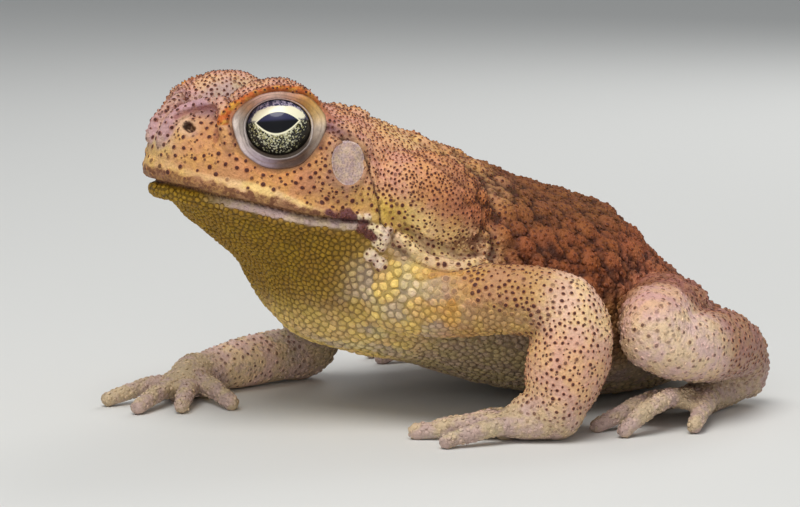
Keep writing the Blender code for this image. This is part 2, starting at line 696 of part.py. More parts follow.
def eardrum_cutter(side, grow, depth):
    """A short cylinder of the eardrum's outline, sunk to this depth."""
    normal = mirrored(EAR_NORMAL, side).normalized()
    middle = mirrored(EAR_CENTRE, side) + normal * (EAR_REACH - depth) / 2
    sizes = (EAR_SIZE[0] + grow, EAR_SIZE[1] + grow, (depth + EAR_REACH) / 2)
    return drum(middle, normal, sizes, EAR_SIDES)


def gland_cutter(side, grow):
    """An ellipsoid round one parotoid gland, reaching out past the skin."""
    centre = mirrored(GLAND_CENTRE, side)
    centre.x += GLAND_SHIFT * side
    half = (GLAND_DEPTH + grow, GLAND_SIZE[0] + grow, GLAND_SIZE[1] + grow)
    return ellipsoid("gland_cutter", centre, half, mirrored(GLAND_AXIS, side))


def open_eye(head, side):
    """Cut the eye's socket and the opening between the lids."""
    centre = mirrored(EYE_CENTRE, side)
    normal = mirrored(EYE_AXIS, side).normalized()
    socket = ellipsoid("socket", centre, (EYE_RADIUS + GAP,) * 3)
    boolean(head, socket, "DIFFERENCE")
    bpy.data.objects.remove(socket)
    sizes = (*EYE_OPENING, EYE_RADIUS)
    opening = drum(centre + normal * EYE_RADIUS, normal, sizes, OPENING_SIDES)
    boolean(head, opening, "DIFFERENCE")
    bpy.data.objects.remove(opening)


def eyeball(side, name):
    """One eyeball."""
    sizes = (EYE_RADIUS,) * 3
    axis = mirrored(EYE_AXIS, side)
    return ellipsoid(name, mirrored(EYE_CENTRE, side), sizes, axis, *EYEBALL_GRID)


def build_parts():
    """Part the whole toad into its named solids."""
    whole = build_whole()
    head, torso = part_at(whole, NECK_CUT, "head", "torso")
    jaw, head = part_at(head, MOUTH_CUT, "lower_jaw", "head")
    parts = []
    arms = (("left", NEAR_SHOULDER_CUT, NEAR_ELBOW_CUT, NEAR_WRIST_CUT),
            ("right", FAR_SHOULDER_CUT, FAR_ELBOW_CUT, FAR_WRIST_CUT))
    for word, shoulder, elbow, wrist in arms:
        torso, arm = part_at(torso, shoulder, "torso", "arm")
        upper, fore = part_at(arm, elbow, "upper_arm_" + word, "fore")
        fore, hand = part_at(fore, wrist, "forearm_" + word, "hand_" + word)
        parts += [upper, fore, hand]
    for word, side in (("left", 1.0), ("right", -1.0)):
        torso, leg = part_at(torso, flipped(HIP_CUT, side), "torso", "leg")
        thigh, shank = part_at(leg, flipped(KNEE_CUT, side), "thigh_" + word, "shank")
        shank, foot = part_at(shank, flipped(ANKLE_CUT, side), "shank_" + word, "foot_" + word)
        parts += [thigh, shank, foot]
        torso, gland = take_out(torso, "parotoid_" + word, gland_cutter(side, 0.0),
                                gland_cutter(side, GAP))
        head, eardrum = take_out(head, "eardrum_" + word, eardrum_cutter(side, 0.0, EAR_DEPTH),
                                 eardrum_cutter(side, GAP, EAR_DEPTH + GAP))
        open_eye(head, side)
        parts += [gland, eardrum, eyeball(side, "eye_" + word)]
    return parts + [head, jaw, torso]


def finish_parts(parts):
    """Put the parts in the toad's collection, each with its own material and soft shading."""
    group = new_collection("cane_toad")
    looks = {"head": "head", "lower_jaw": "throat", "torso": "warty", "parotoid": "gland",
             "eardrum": "eardrum", "eye": "eye", "upper_arm": "limb", "forearm": "limb",
             "hand": "foot", "thigh": "warty", "shank": "limb", "foot": "foot"}
    for part in parts:
        kind = part.name.replace("_left", "").replace("_right", "")
        colour, roughness = SKIN_COLOURS[looks[kind]]
        material = bpy.data.materials.new(part.name)
        material.use_nodes = True
        shader = material.node_tree.nodes["Principled BSDF"]
        shader.inputs["Base Color"].default_value = (*colour, 1.0)
        shader.inputs["Roughness"].default_value = roughness
        shader.inputs["Metallic"].default_value = 0.0
        part.data.materials.clear()
        part.data.materials.append(material)
        part.data.shade_smooth()
        part.data.set_sharp_from_angle(angle=math.radians(SHARP_ANGLE))
        for holder in list(part.users_collection):
            holder.objects.unlink(part)
        group.objects.link(part)


def main():
    """Make the toad."""
    clear_scene()
    finish_parts(build_parts())


main()
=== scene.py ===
"""A cane toad at rest, life size: one warty skin with its granules, two eyes in their lids and
two eardrums, on a plain pale floor under soft light.

The toad faces -Y, its left side is +X and it sits on z = 0. Sizes in the script are in
millimetres and the meshes are made in metres.
"""

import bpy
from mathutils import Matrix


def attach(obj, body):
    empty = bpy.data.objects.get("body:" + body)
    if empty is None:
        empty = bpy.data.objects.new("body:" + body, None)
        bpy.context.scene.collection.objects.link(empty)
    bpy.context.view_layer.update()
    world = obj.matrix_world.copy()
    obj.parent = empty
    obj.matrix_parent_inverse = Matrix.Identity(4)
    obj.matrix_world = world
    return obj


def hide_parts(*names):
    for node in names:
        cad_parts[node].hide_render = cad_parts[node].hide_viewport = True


bl_info = {
    "name": "Cane toad",
    "version": (1, 0, 0),
    "blender": (4, 5, 0),
    "location": "View3D > Sidebar > Toad",
    "description": "Builds a life-size cane toad piece by piece",
    "category": "Object",
}

import math

import bpy
import numpy as np
from bpy.props import FloatProperty, FloatVectorProperty, IntProperty, PointerProperty
from bpy.types import Operator, Panel, PropertyGroup
from mathutils import Vector
from mathutils.bvhtree import BVHTree
from mathutils.kdtree import KDTree

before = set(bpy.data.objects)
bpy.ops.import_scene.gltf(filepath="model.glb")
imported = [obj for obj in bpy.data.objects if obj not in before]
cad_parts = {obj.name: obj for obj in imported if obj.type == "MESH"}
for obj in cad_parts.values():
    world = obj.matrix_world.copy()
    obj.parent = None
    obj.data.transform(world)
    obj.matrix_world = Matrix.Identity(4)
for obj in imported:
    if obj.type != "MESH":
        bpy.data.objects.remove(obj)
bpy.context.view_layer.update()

MM = 0.001
FLESH = ("head", "lower_jaw", "torso", "parotoid_left", "parotoid_right", "upper_arm_left",
         "upper_arm_right", "forearm_left", "forearm_right", "hand_left", "hand_right",
         "thigh_left", "thigh_right", "shank_left", "shank_right", "foot_left", "foot_right")

# Trunk from snout to vent: y, top, bottom, half width, height of the widest line,
# squareness on top, keel below
TRUNK = (
    (-61.9, 49.4, 47.4, 0.6, 48.4, 1.0, 1.0),
    (-61.3, 52.2, 46.4, 3.8, 48.6, 1.0, 1.0),
    (-59.7, 55.6, 44.8, 7.2, 48.2, 0.95, 1.0),
    (-56.6, 58.0, 42.2, 11.0, 47.4, 0.85, 1.05),
    (-52.0, 59.6, 37.6, 15.2, 46.0, 0.75, 1.1),
    (-46.0, 60.0, 32.6, 18.8, 44.6, 0.7, 1.1),
    (-40.0, 60.0, 27.2, 21.6, 43.0, 0.7, 1.1),
    (-34.0, 59.6, 17.4, 23.8, 41.6, 0.75, 1.05),
    (-27.0, 58.8, 13.0, 25.8, 37.5, 0.9, 0.9),
    (-18.0, 56.2, 10.6, 28.0, 32.5, 1.0, 0.84),
    (-8.0, 51.8, 8.2, 30.4, 28.0, 1.0, 0.86),
    (2.0, 47.6, 4.6, 32.4, 24.5, 1.0, 0.9),
    (12.0, 43.2, 2.0, 33.2, 21.0, 1.0, 0.9),
    (22.0, 40.0, 0.3, 31.6, 18.5, 1.0, 0.9),
    (30.0, 37.6, -0.6, 27.6, 16.6, 1.0, 0.9),
    (35.6, 33.8, -0.6, 23.4, 14.6, 1.0, 0.9),
    (40.4, 29.0, -0.4, 20.4, 13.4, 1.0, 0.9),
    (45.5, 24.8, 0.4, 17.6, 12.2, 1.0, 0.95),
    (51.5, 20.2, 1.8, 14.4, 11.0, 1.0, 1.0),
    (57.0, 16.2, 4.0, 10.4, 10.0, 1.0, 1.0),
    (60.8, 13.8, 6.2, 6.4, 9.8, 1.0, 1.0),
    (62.4, 12.0, 7.8, 3.4, 9.8, 1.0, 1.0),
)
TRUNK_STEPS = 5
TRUNK_SIDES = 96

# How finely the tubes and balls are made: steps to a span, sides round, rings of a tube's round
# ends, the direction that its first points are turned from, and steps along and round a ball
TUBE_STEPS = 5
TUBE_SIDES = 20
END_SHARES = (0.985, 0.86, 0.62, 0.34)
TUBE_LEAN = (0.0, 0.31, 0.95)
BALL_STEPS = (26, 40)

# Head, its left side: tubes are points of a middle line with a radius at each
EYE_CENTRE = (11.0, -40.6, 55.4)
EYE_RADIUS = 7.0
EYE_AXIS = (0.883, -0.450, 0.1305)
LID_CENTRE = (10.2, -41.8, 56.0)
LID_SIZE = (7.6, 10.4, 8.8)
LID_EDGE = ((13.0, -51.4, 56.8, 0.8), (12.6, -51.0, 59.0, 1.0), (13.2, -49.0, 61.0, 1.1),
            (13.9, -46.6, 62.2, 1.1), (14.3, -44.0, 62.8, 1.1), (14.6, -41.4, 62.9, 1.1),
            (14.9, -38.8, 62.5, 1.1), (15.4, -36.8, 61.5, 1.1), (16.0, -35.4, 60.2, 1.0),
            (16.6, -34.6, 58.4, 0.9))
CANTHUS = ((9.6, -51.6, 60.3, 1.2), (6.8, -52.8, 60.2, 1.2), (4.4, -54.4, 59.5, 1.2),
           (3.2, -56.8, 58.2, 1.1), (2.8, -59.0, 56.3, 1.1), (2.4, -60.6, 53.6, 0.9))
BEFORE_EYE = ((9.6, -51.6, 60.3, 1.1), (11.1, -52.1, 59.3, 1.2), (12.2, -52.4, 57.4, 1.2),
              (13.0, -52.3, 55.2, 1.1), (13.7, -52.0, 52.8, 0.9))
CROWN = ((9.4, -51.0, 59.6, 1.2), (7.0, -47.2, 60.3, 1.2), (6.4, -42.0, 60.9, 1.2),
         (7.8, -36.8, 60.9, 1.2), (11.2, -33.4, 59.6, 1.2), (15.4, -34.0, 58.2, 1.2))
EAR_RIDGE = ((16.0, -35.2, 57.8, 1.2), (17.2, -33.0, 56.2, 1.5), (18.8, -30.4, 54.6, 1.5),
             (20.6, -28.0, 52.2, 1.3))
UPPER_LIP = ((0.0, -60.6, 48.8, 2.0), (5.4, -58.8, 48.2, 2.1), (10.2, -55.4, 46.8, 2.1),
             (14.4, -50.4, 45.4, 1.9), (17.8, -45.0, 44.2, 1.7), (20.6, -40.2, 42.6, 1.5),
             (22.8, -35.4, 41.0, 1.3))
LOWER_LIP = ((0.0, -60.2, 44.4, 1.3), (5.6, -57.9, 43.4, 1.3), (11.6, -52.8, 42.0, 1.2),
             (15.6, -47.6, 40.8, 1.2), (19.0, -41.8, 39.2, 1.2), (22.0, -36.0, 38.2, 1.2),
             (23.6, -32.0, 37.6, 1.1))

# Parotoid glands and the fold below them
GLAND_CENTRE = (21.4, -15.6, 41.2)
GLAND_SIZE = (12.8, 9.4, 8.8)
GLAND_AXIS = (0.22, 0.84, -0.48)
SHOULDER_FOLD = ((25.0, -25.0, 35.4, 1.1), (26.2, -21.8, 33.2, 1.2), (28.4, -18.0, 31.2, 1.3),
                 (30.4, -14.4, 30.6, 1.5), (30.0, -9.6, 30.6, 1.3), (29.0, -5.6, 30.8, 1.0))

# Limbs: arms and legs as middle lines with a radius at each point; the palm; each finger's turn
# from the hand's heading in degrees and its length; shares of its length with height and width
NEAR_ARM = ((22.0, -20.0, 26.0, 8.8), (29.0, -13.6, 24.6, 7.4), (35.6, -8.0, 24.8, 6.3),
            (40.2, -2.4, 24.6, 6.5), (43.6, 2.0, 22.6, 6.8), (45.4, 2.2, 17.0, 7.6),
            (47.0, -0.4, 10.5, 7.2), (48.4, -2.6, 5.4, 5.2))
FAR_ARM = ((-21.0, -19.0, 25.0, 9.0), (-27.0, -15.6, 17.6, 7.4), (-32.4, -12.8, 10.6, 6.0),
           (-35.0, -13.6, 5.6, 5.2), (-33.2, -21.0, 5.3, 5.1), (-30.4, -30.0, 4.9, 4.8),
           (-28.4, -38.0, 4.2, 4.0), (-28.0, -40.5, 3.9, 3.8))
PALM_LENGTH = 9.0
PALM_SIZE = (5.2, 7.4, 2.9)
PALM_HEIGHT = 3.0
WRIST_RADII = (4.2, 3.6, 2.8)
PALM_END_HEIGHT = 2.4
FINGERS = ((-44.0, 15.0), (-14.0, 17.5), (6.0, 20.5), (34.0, 16.5))
FINGER_RADIUS = 1.7
FINGER_SHAPE = ((0.0, 2.8, 1.25), (0.45, 3.0, 1.0), (0.75, 2.2, 0.92), (1.0, 1.35, 0.85))
FINGER_ROOT = (0.55, 3.4)
NEAR_HEADING = -35.0
FAR_HEADING = 46.0
LEG = ((11.0, 43.0, 12.6, 8.6), (21.0, 37.4, 14.6, 9.2), (32.0, 30.0, 17.6, 8.6),
       (41.6, 22.8, 19.4, 7.0), (46.0, 19.4, 19.2, 6.4))
SHANK = ((46.0, 19.4, 17.0, 6.2), (46.2, 24.4, 15.2, 6.3), (42.4, 33.0, 14.0, 6.7),
         (36.6, 41.4, 12.6, 6.3), (32.8, 46.6, 9.8, 5.0), (31.2, 49.0, 7.4, 4.4))
TARSUS = ((31.2, 48.6, 5.4, 4.2), (32.6, 43.0, 3.6, 3.4), (35.2, 36.4, 3.0, 3.6))
TOES = (
    ((34.4, 36.0, 3.0), (33.4, 31.0, 2.5), (33.6, 27.0, 1.2)),
    ((35.2, 35.0, 3.2), (36.2, 28.0, 3.2), (37.6, 22.0, 2.4), (38.4, 17.6, 1.2)),
    ((36.4, 34.6, 3.3), (39.4, 27.0, 4.2), (42.2, 19.2, 4.2), (44.0, 12.6, 2.6), (44.4, 8.4, 1.2)),
    ((37.8, 34.6, 3.4), (43.4, 27.6, 4.6), (48.6, 20.6, 5.9), (51.0, 14.6, 4.4), (51.8, 9.8, 1.2)),
    ((38.6, 36.0, 3.4), (44.6, 31.6, 3.6), (50.4, 26.8, 3.0), (54.0, 23.4, 1.2)),
)
TOE_RADIUS = 1.7
TOE_TAPER = (1.15, 0.85)
WEB_REACH = (0.05, 0.55)
WEB_THICKNESS = 1.6
WEB_ROWS = 9

# Evening out: shares of the two steps of a round, and how much the soles below a height keep
RELAX_SHARES = (0.6, -0.56)
SOLE_HEIGHT = 4.0
SOLE_KEEP = 0.75

# Large warts of the back: those at the places that the solids give them, then what the others are
# drawn from: seed, tries, radius, reach along the back, turn over it and room kept between them
PLACED_WARTS = ((25.2, -0.9, 39.7, 2.3), (25.0, 3.0, 38.6, 2.0), (21.6, 9.4, 38.8, 1.9),
                (18.4, 15.8, 38.1, 2.0), (14.8, 21.3, 37.8, 1.9), (9.6, 30.4, 37.0, 2.1),
                (28.2, 6.6, 34.6, 1.8), (27.0, 11.4, 34.2, 1.9), (29.9, 1.0, 33.2, 1.9),
                (29.7, 14.9, 29.7, 2.0), (22.8, 28.5, 30.0, 2.5), (28.3, 20.4, 29.2, 2.0),
                (23.1, 33.0, 26.4, 2.1), (4.4, -21.0, 56.6, 1.9), (10.4, -10.4, 51.4, 2.0),
                (11.0, -6.0, 49.6, 1.8))
WART_SEED = 21
WART_TRIES = 1400
WART_RADIUS = (1.6, 2.2)
WART_REACH = (-19.0, 56.0)
WART_TURN = (-12.0, 192.0)
WART_SPACING = 1.3

# Small warts of the back and legs: radii, tries and room kept; the size and reach of the noise that
# bends their outlines; how much the domes grow, how round they are and how high beside the mouth
SMALL_WARTS = ((0.85, 1.6), 12000, 0.86)
LEG_WARTS = ((0.8, 1.3), 2600, 1.0)
WART_BEND = (1.9, 0.6)
WART_GROWTH = 1.2
WART_ROUNDNESS = 0.5
MOUTH_WART_GROWTH = 1.1
MOUTH_WART_ROUNDNESS = 0.6
MOUTH_WART_HEIGHT = 0.75

# Lines and places on the left side of the head: the mouth and the lip's top are given as y and
# height, the ring of lids as level and rising places before the eye, warts with a radius each
LID_RIDGE = ((12.8, -52.6, 57.6), (13.0, -52.3, 59.1), (13.2, -51.8, 60.0), (14.0, -50.3, 61.3),
             (14.6, -48.2, 62.5), (15.3, -45.9, 63.1), (15.6, -43.6, 63.5), (15.9, -41.1, 63.5),
             (16.3, -39.4, 63.4), (16.6, -38.0, 62.7), (16.9, -36.9, 61.7), (17.2, -35.8, 60.6))
MOUTH = ((-62.0, 46.0), (-60.5, 45.6), (-57.2, 45.0), (-53.8, 43.8), (-50.3, 43.1), (-47.2, 42.3),
         (-43.1, 41.1), (-39.0, 40.2), (-35.9, 39.8), (-32.0, 39.4), (-28.0, 38.8))
LIP_TOP = ((-62.0, 50.9), (-60.7, 50.1), (-59.2, 49.0), (-56.5, 48.1), (-53.7, 47.4), (-50.7, 46.9),
           (-47.5, 46.2), (-45.1, 45.2), (-42.1, 43.6), (-39.6, 42.2), (-36.0, 40.8))
NOSTRIL = ((5.8, -56.95, 56.5), (6.2, -56.7, 56.05), (6.6, -56.45, 55.7))
HOLLOW = (8.6, -55.2, 56.6)
HOLLOW_EDGE = ((4.4, -58.5, 58.1), (4.9, -56.7, 58.7), (5.7, -54.8, 59.2), (7.3, -53.7, 59.6),
               (9.3, -53.1, 59.9), (11.4, -53.3, 59.2), (11.6, -53.6, 57.8), (11.2, -53.6, 56.0),
               (11.6, -53.8, 54.1))
CREAM_FOLD = ((27.1, -23.5, 35.6), (27.8, -22.5, 34.9), (28.4, -21.3, 33.8), (28.7, -19.4, 32.4),
              (30.3, -17.7, 31.6), (31.3, -15.7, 31.0), (32.2, -13.3, 31.2), (32.2, -10.4, 31.4))
NECK_FOLD = ((20.2, -32.4, 54.1), (20.9, -30.1, 52.7), (22.2, -28.7, 50.9), (22.8, -27.9, 48.7),
             (23.4, -27.8, 46.6), (24.1, -27.4, 44.4), (24.8, -27.1, 42.6), (25.3, -27.1, 40.6),
             (25.8, -27.2, 39.0), (25.8, -26.2, 37.7), (26.4, -25.2, 36.6), (27.0, -24.7, 35.1))
GLAND_RIM = ((17.9, -19.7, 51.2), (26.2, -15.6, 49.0), (28.9, -11.8, 45.4), (28.9, -7.6, 41.4),
             (27.8, -4.9, 37.4), (29.2, -5.2, 34.8), (29.8, -7.0, 32.7), (29.7, -11.1, 32.0),
             (28.6, -14.7, 33.4), (27.8, -19.5, 35.5), (26.5, -24.0, 38.4), (25.6, -26.7, 41.2),
             (24.6, -26.8, 44.8), (22.1, -25.1, 49.1), (17.9, -19.7, 51.2))
EAR_CENTRE = (22.7, -32.2, 49.9)
EAR_NORMAL = (0.94, -0.06, 0.33)
EAR_SIZE = (3.25, 4.2)
EAR_TILT = -14.0
IRIS_PLACE = (-0.05, 0.26)
IRIS_SIZE = (6.05, 5.2)
EYE_RING = ((8.8, 0.74), (8.5, 2.6), (6.9, 4.7), (5.2, 5.95), (2.6, 6.55), (0.0, 6.7),
            (-2.8, 6.2), (-5.3, 5.0), (-7.3, 3.4), (-8.33, 1.6), (-8.1, -0.3), (-7.4, -2.5),
            (-6.1, -4.8), (-2.8, -7.0), (0.5, -7.45), (4.0, -6.7), (6.4, -4.4), (8.1, -1.67))
DARK_WARTS = ((24.0, -34.1, 40.4, 0.95), (24.3, -33.1, 40.8, 0.95), (24.5, -32.3, 40.0, 0.95),
              (23.8, -33.3, 39.7, 0.8), (24.2, -35.6, 40.6, 0.75), (24.2, -36.9, 41.1, 0.75),
              (24.8, -30.2, 38.9, 1.1), (25.1, -30.6, 37.9, 1.0), (25.3, -29.3, 36.9, 0.95),
              (25.5, -28.4, 36.2, 0.8))
PALE_WARTS = ((25.2, -31.4, 39.9, 0.7), (25.3, -29.6, 39.9, 0.75), (25.5, -28.8, 38.2, 0.8),
              (25.9, -27.4, 37.3, 1.15), (26.2, -26.6, 36.2, 1.3), (25.6, -27.7, 35.3, 1.0),
              (26.2, -25.8, 37.4, 0.9), (25.9, -27.0, 34.4, 0.9), (24.8, -28.6, 32.8, 1.2),
              (25.4, -27.0, 31.4, 1.2), (27.3, -24.2, 36.2, 1.1), (27.5, -22.9, 35.5, 1.1),
              (28.3, -21.3, 34.3, 1.2))

# Swells of the skin as bells over a distance: height, distance of the middle, width, in mm
MOUTH_SWELLS = ((-0.9, 0.0, 0.36), (0.4, 1.1, 0.8), (0.3, -1.2, 0.8))
CREASES = {
    "nostril": (NOSTRIL, ((0.6, 0.0, 1.8), (-2.3, 0.0, 0.68))),
    "hollow": (HOLLOW_EDGE, ((-0.45, 0.0, 0.5),)),
    "neck": (NECK_FOLD, ((0.12, 0.0, 1.3), (-0.5, 0.0, 0.26))),
    "rim": (GLAND_RIM, ((-0.5, 0.0, 0.9),)),
    "cream": (CREAM_FOLD, ((0.7, 0.0, 0.8), (-0.45, 1.7, 0.4))),
    "ridge": (LID_RIDGE, ((0.45, 0.0, 0.55),)),
}
CREST_SWELLS = ((CANTHUS, 0.35, 0.9), (BEFORE_EYE, 0.35, 0.8), (EAR_RIDGE, 0.35, 1.2))

# Regions of the skin, left side: colour; granules as spacing, radius as a share of it, height,
# darkness of the tip and painted shade on the skin between them; how far the region spreads; and the
# places that it spreads from
REGIONS = {
    "snout_tip": ((0.62, 0.5, 0.25), (1.35, 0.34, 0.18, 0.6, 0.0), 4.0,
                  ((0, -62, 52), (4, -61, 50))),
    "snout_top": ((0.62, 0.36, 0.27), (1.05, 0.38, 0.24, 0.9, 0.0), 4.0,
                  ((0, -58, 57), (3, -55, 58.5))),
    "lore": ((0.66, 0.33, 0.125), (1.3, 0.34, 0.22, 0.9, 0.0), 4.0,
             ((9, -57, 53), (12, -54, 51), (8, -59, 51))),
    "cheek": ((0.72, 0.32, 0.13), (1.15, 0.38, 0.26, 1.0, 0.0), 4.0,
              ((17, -47, 49), (20, -42, 47))),
    "cheek_back": ((0.564, 0.283, 0.148), (1.0, 0.4, 0.28, 1.0, 0.0), 4.0,
                   ((22.5, -37, 46), (24, -34, 43))),
    "crown": ((0.52, 0.39, 0.32), (0.95, 0.4, 0.28, 0.9, 0.0), 5.0,
              ((0, -50, 60), (0, -42, 60), (0, -34, 60))),
    "lid_top": ((0.74, 0.44, 0.3), (0.72, 0.44, 0.38, 0.9, 0.0), 4.0,
                ((12, -44, 65), (11, -38, 64.5), (12, -50, 62.5))),
    "nape": ((0.7, 0.37, 0.24), (0.76, 0.43, 0.32, 1, 0), 5.0,
             ((12, -28, 59), (6, -24, 58), (18, -24, 55), (22, -25, 49))),
    "neck_low": ((0.66, 0.44, 0.09), (1.1, 0.38, 0.26, 0.9, 0.0), 3.5,
                 ((25.5, -29, 41), (26, -25, 37))),
    "gland_top": ((0.7, 0.34, 0.16), (0.66, 0.45, 0.28, 1, 0), 4.0,
                  ((25, -17, 50), (27, -12, 46))),
    "gland_mid": ((0.44, 0.165, 0.068), (0.64, 0.46, 0.28, 1, 0), 4.0,
                  ((29, -9, 41), (28.5, -15, 41))),
    "gland_low": ((0.88, 0.64, 0.33), (1.0, 0.38, 0.24, 0.9, 0.0), 4.0,
                  ((28, -19, 36), (29.5, -12, 33.5))),
    "back_front": ((0.78, 0.5, 0.24), (0.95, 0.4, 0.28, 1.0, 0.0), 6.0,
                   ((8, -16, 54), (0, -18, 56))),
    "back_mid": ((0.52, 0.31, 0.15), (0.95, 0.4, 0.28, 0.7, 0), 6.0,
                 ((10, -5, 49.5), (0, -2, 50), (18, -3, 45))),
    "back": ((0.19, 0.076, 0.026), (1.05, 0.4, 0.26, 0.45, 0), 8.0,
             ((12, 8, 44), (0, 12, 44), (22, 8, 38), (0, 25, 40), (14, 22, 38))),
    "flank": ((0.25, 0.078, 0.024), (1.05, 0.4, 0.26, 0.4, 0), 7.0,
              ((29, 6, 32), (29, 18, 28), (24, 30, 28), (18, 38, 26))),
    "rump": ((0.29, 0.13, 0.075), (1.2, 0.38, 0.26, 0.8, 0.0), 7.0,
             ((0, 45, 26), (8, 52, 20))),
    "flank_low": ((0.30, 0.16, 0.06), (1.0, 0.9, 0.26, 0.1, 0.6), 5.0,
                  ((33, 8, 20), (31, 20, 18))),
    "throat": ((0.32, 0.185, 0.013), (0.8, 0.95, 0.3, 0.0, 0.8), 7.0,
               ((6, -56, 40), (0, -56, 41), (16, -44, 35), (0, -45, 33), (22, -36, 36),
                (10, -38, 27))),
    "throat_back": ((0.25, 0.12, 0.01), (0.9, 0.95, 0.32, 0.0, 0.8), 5.0,
                    ((25, -30, 33), (20, -31, 25))),
    "chest": ((0.9, 0.64, 0.22), (1.45, 0.95, 0.38, 0.0, 0.7), 5.0,
              ((26, -27, 30), (23, -28, 24), (28, -24, 24))),
    "chest_low": ((0.8, 0.58, 0.22), (1.25, 0.95, 0.36, 0.0, 0.7), 7.0,
                  ((10, -30, 17), (20, -24, 17), (0, -27, 14))),
    "shoulder": ((0.74, 0.35, 0.082), (1.2, 0.85, 0.28, 0.35, 0.4), 4.0,
                 ((33, -17, 26), (32, -15, 20))),
    "belly": ((0.477, 0.364, 0.226), (1.15, 0.95, 0.3, 0.0, 0.6), 10.0,
              ((0, 0, 4), (20, 0, 8), (0, 25, 1), (26, -4, 12), (0, 45, 2))),
    "arm_under": ((0.62, 0.40, 0.15), (0.95, 0.95, 0.24, 0.0, 0.6), 3.2,
                  ((31.7, -20.5, 21.5), (34.1, -16.6, 20.3), (36.6, -12.7, 19.8), (39.3, -9, 19.5))),
    "arm": ((0.529, 0.284, 0.125), (0.92, 0.42, 0.28, 1.0, 0.0), 4.0,
            ((38, -8, 28), (40, -3, 30))),
    "elbow": ((0.84, 0.58, 0.38), (0.98, 0.4, 0.28, 1.0, 0.0), 4.0,
              ((46, 3, 27), (50, 3, 22), (46, 7, 22))),
    "forearm": ((0.72, 0.42, 0.27), (1.0, 0.38, 0.26, 1.0, 0.0), 5.0,
                ((52, 0, 14), (50, -5, 10), (46, 6, 12))),
    "forearm_inner": ((0.675, 0.409, 0.199), (1.0, 0.38, 0.26, 1.0, 0.0), 4.0,
                      ((41, -4, 14), (45, -8, 12))),
    "hand": ((0.6, 0.46, 0.36), (0.95, 0.5, 0.18, 0.2, 0.2), 7.0,
             ((50, -10, 3), (54, -18, 3), (44, -16, 2), (40, -22, 2), (60, -12, 2), (26, -46, 3),
              (18, -50, 2), (36, -48, 2))),
    "far_arm": ((0.92, 0.68, 0.54), (1.15, 0.36, 0.26, 0.5, 0), 6.0,
                ((34, -16, 8), (31, -30, 8))),
    "thigh": ((0.42, 0.19, 0.14), (1.15, 0.38, 0.28, 0.4, 0), 6.0,
              ((32, 30, 26), (24, 37, 24))),
    "knee": ((0.7, 0.42, 0.33), (1.35, 0.34, 0.24, 0.42, 0), 4.0,
             ((46, 19, 25),)),
    "shank_front": ((0.82, 0.6, 0.48), (1.45, 0.32, 0.24, 0.42, 0), 5.0,
                    ((51, 22, 16), (50, 28, 14), (48, 17, 12))),
    "shank_back": ((0.46, 0.25, 0.18), (1.15, 0.42, 0.28, 0.7, 0.0), 6.0,
                   ((44, 38, 16), (38, 46, 12), (36, 38, 18))),
    "foot": ((0.6, 0.46, 0.37), (0.95, 0.5, 0.18, 0.2, 0.2), 8.0,
             ((36, 36, 4), (44, 20, 4), (50, 14, 4), (33, 44, 6))),
}

# Colours of the head's own marks, of the painted shade in its creases, hollows and round the eyes,
# of the painted highlight on the lid's beads, and of the warts; the warts' top colour and their gap
# colour, which is painted shade, multiply the skin's colour
DARK_TIP = (0.065, 0.014, 0.013)
BROWN = (0.16, 0.055, 0.025)
LAVENDER = (0.52, 0.32, 0.37)
LIP_COLOUR = (0.60, 0.31, 0.12)
LIP_BAND = (0.86, 0.60, 0.28)
LIP_BAND_FRONT = (0.70, 0.44, 0.18)
LIP_MARGIN = (0.36, 0.16, 0.07)
LOWER_LIP_COLOUR = (0.58, 0.45, 0.40)
MOUTH_SHADE = (0.05, 0.02, 0.015)
RIDGE_FOOT = (0.74, 0.44, 0.26)
RIDGE_ORANGE = (0.60, 0.14, 0.02)
BEAD_HIGHLIGHT = (0.14, 0.24, 0.04)
RIDGE_SHADE = (0.28, 0.07, 0.02)
LID_SHADE = (0.52, 0.18, 0.08)
UNDER_EYE_SHADE = (0.17, 0.08, 0.04)
EAR_RIM = (0.36, 0.20, 0.12)
NOSTRIL_RIM = (0.66, 0.43, 0.33)
NOSTRIL_SHADE = (0.007, 0.003, 0.003)
HOLLOW_EDGE_SHADE = (0.27, 0.075, 0.045)
HOLLOW_SHADE = (0.46, 0.20, 0.11)
NECK_CREASE_SHADE = (0.07, 0.03, 0.015)
GLAND_RIM_SHADE = (0.12, 0.05, 0.03)
CREAM_COLOUR = (0.80, 0.58, 0.32)
CREAM_SHADE = (0.22, 0.13, 0.05)
CHEST_PATCH = (0.62, 0.54, 0.42)
WART_TOP = (1.3, 1.08, 0.95)
WART_GAP_SHADE = (0.22, 0.19, 0.19)
MIDDLE_WARTS = (0.62, 0.24, 0.10)

# Granules of the lips, in the order that the regions give them
LIP_GRAIN = (1.9, 0.30, 0.20, 0.6, 0.0)
BARE_GRAIN = (1.3, 0.30, 0.08, 0.2, 0.0)

# The cluster of small warts behind the mouth: places, colour, granules
CORNER_WARTS = (
    (PALE_WARTS, (0.84, 0.68, 0.50), (0.9, 0.36, 0.2, 0.9, 0.0)),
    (DARK_WARTS, (0.13, 0.040, 0.045), (0.5, 0.44, 0.2, 0.9, 0.0)),
)

# Ridges and folds painted in a colour of their own: line, colour, outer and inner reach, strength
LINES = (
    (CANTHUS, LAVENDER, 2.4, 0.8, 0.85),
    (BEFORE_EYE, (0.50, 0.24, 0.15), 2.2, 0.6, 0.75),
    (CROWN, LAVENDER, 2.0, 0.8, 0.6),
    (EAR_RIDGE, LAVENDER, 2.2, 1.0, 0.6),
    (SHOULDER_FOLD, (0.66, 0.50, 0.30), 2.2, 1.4, 0.8),
)

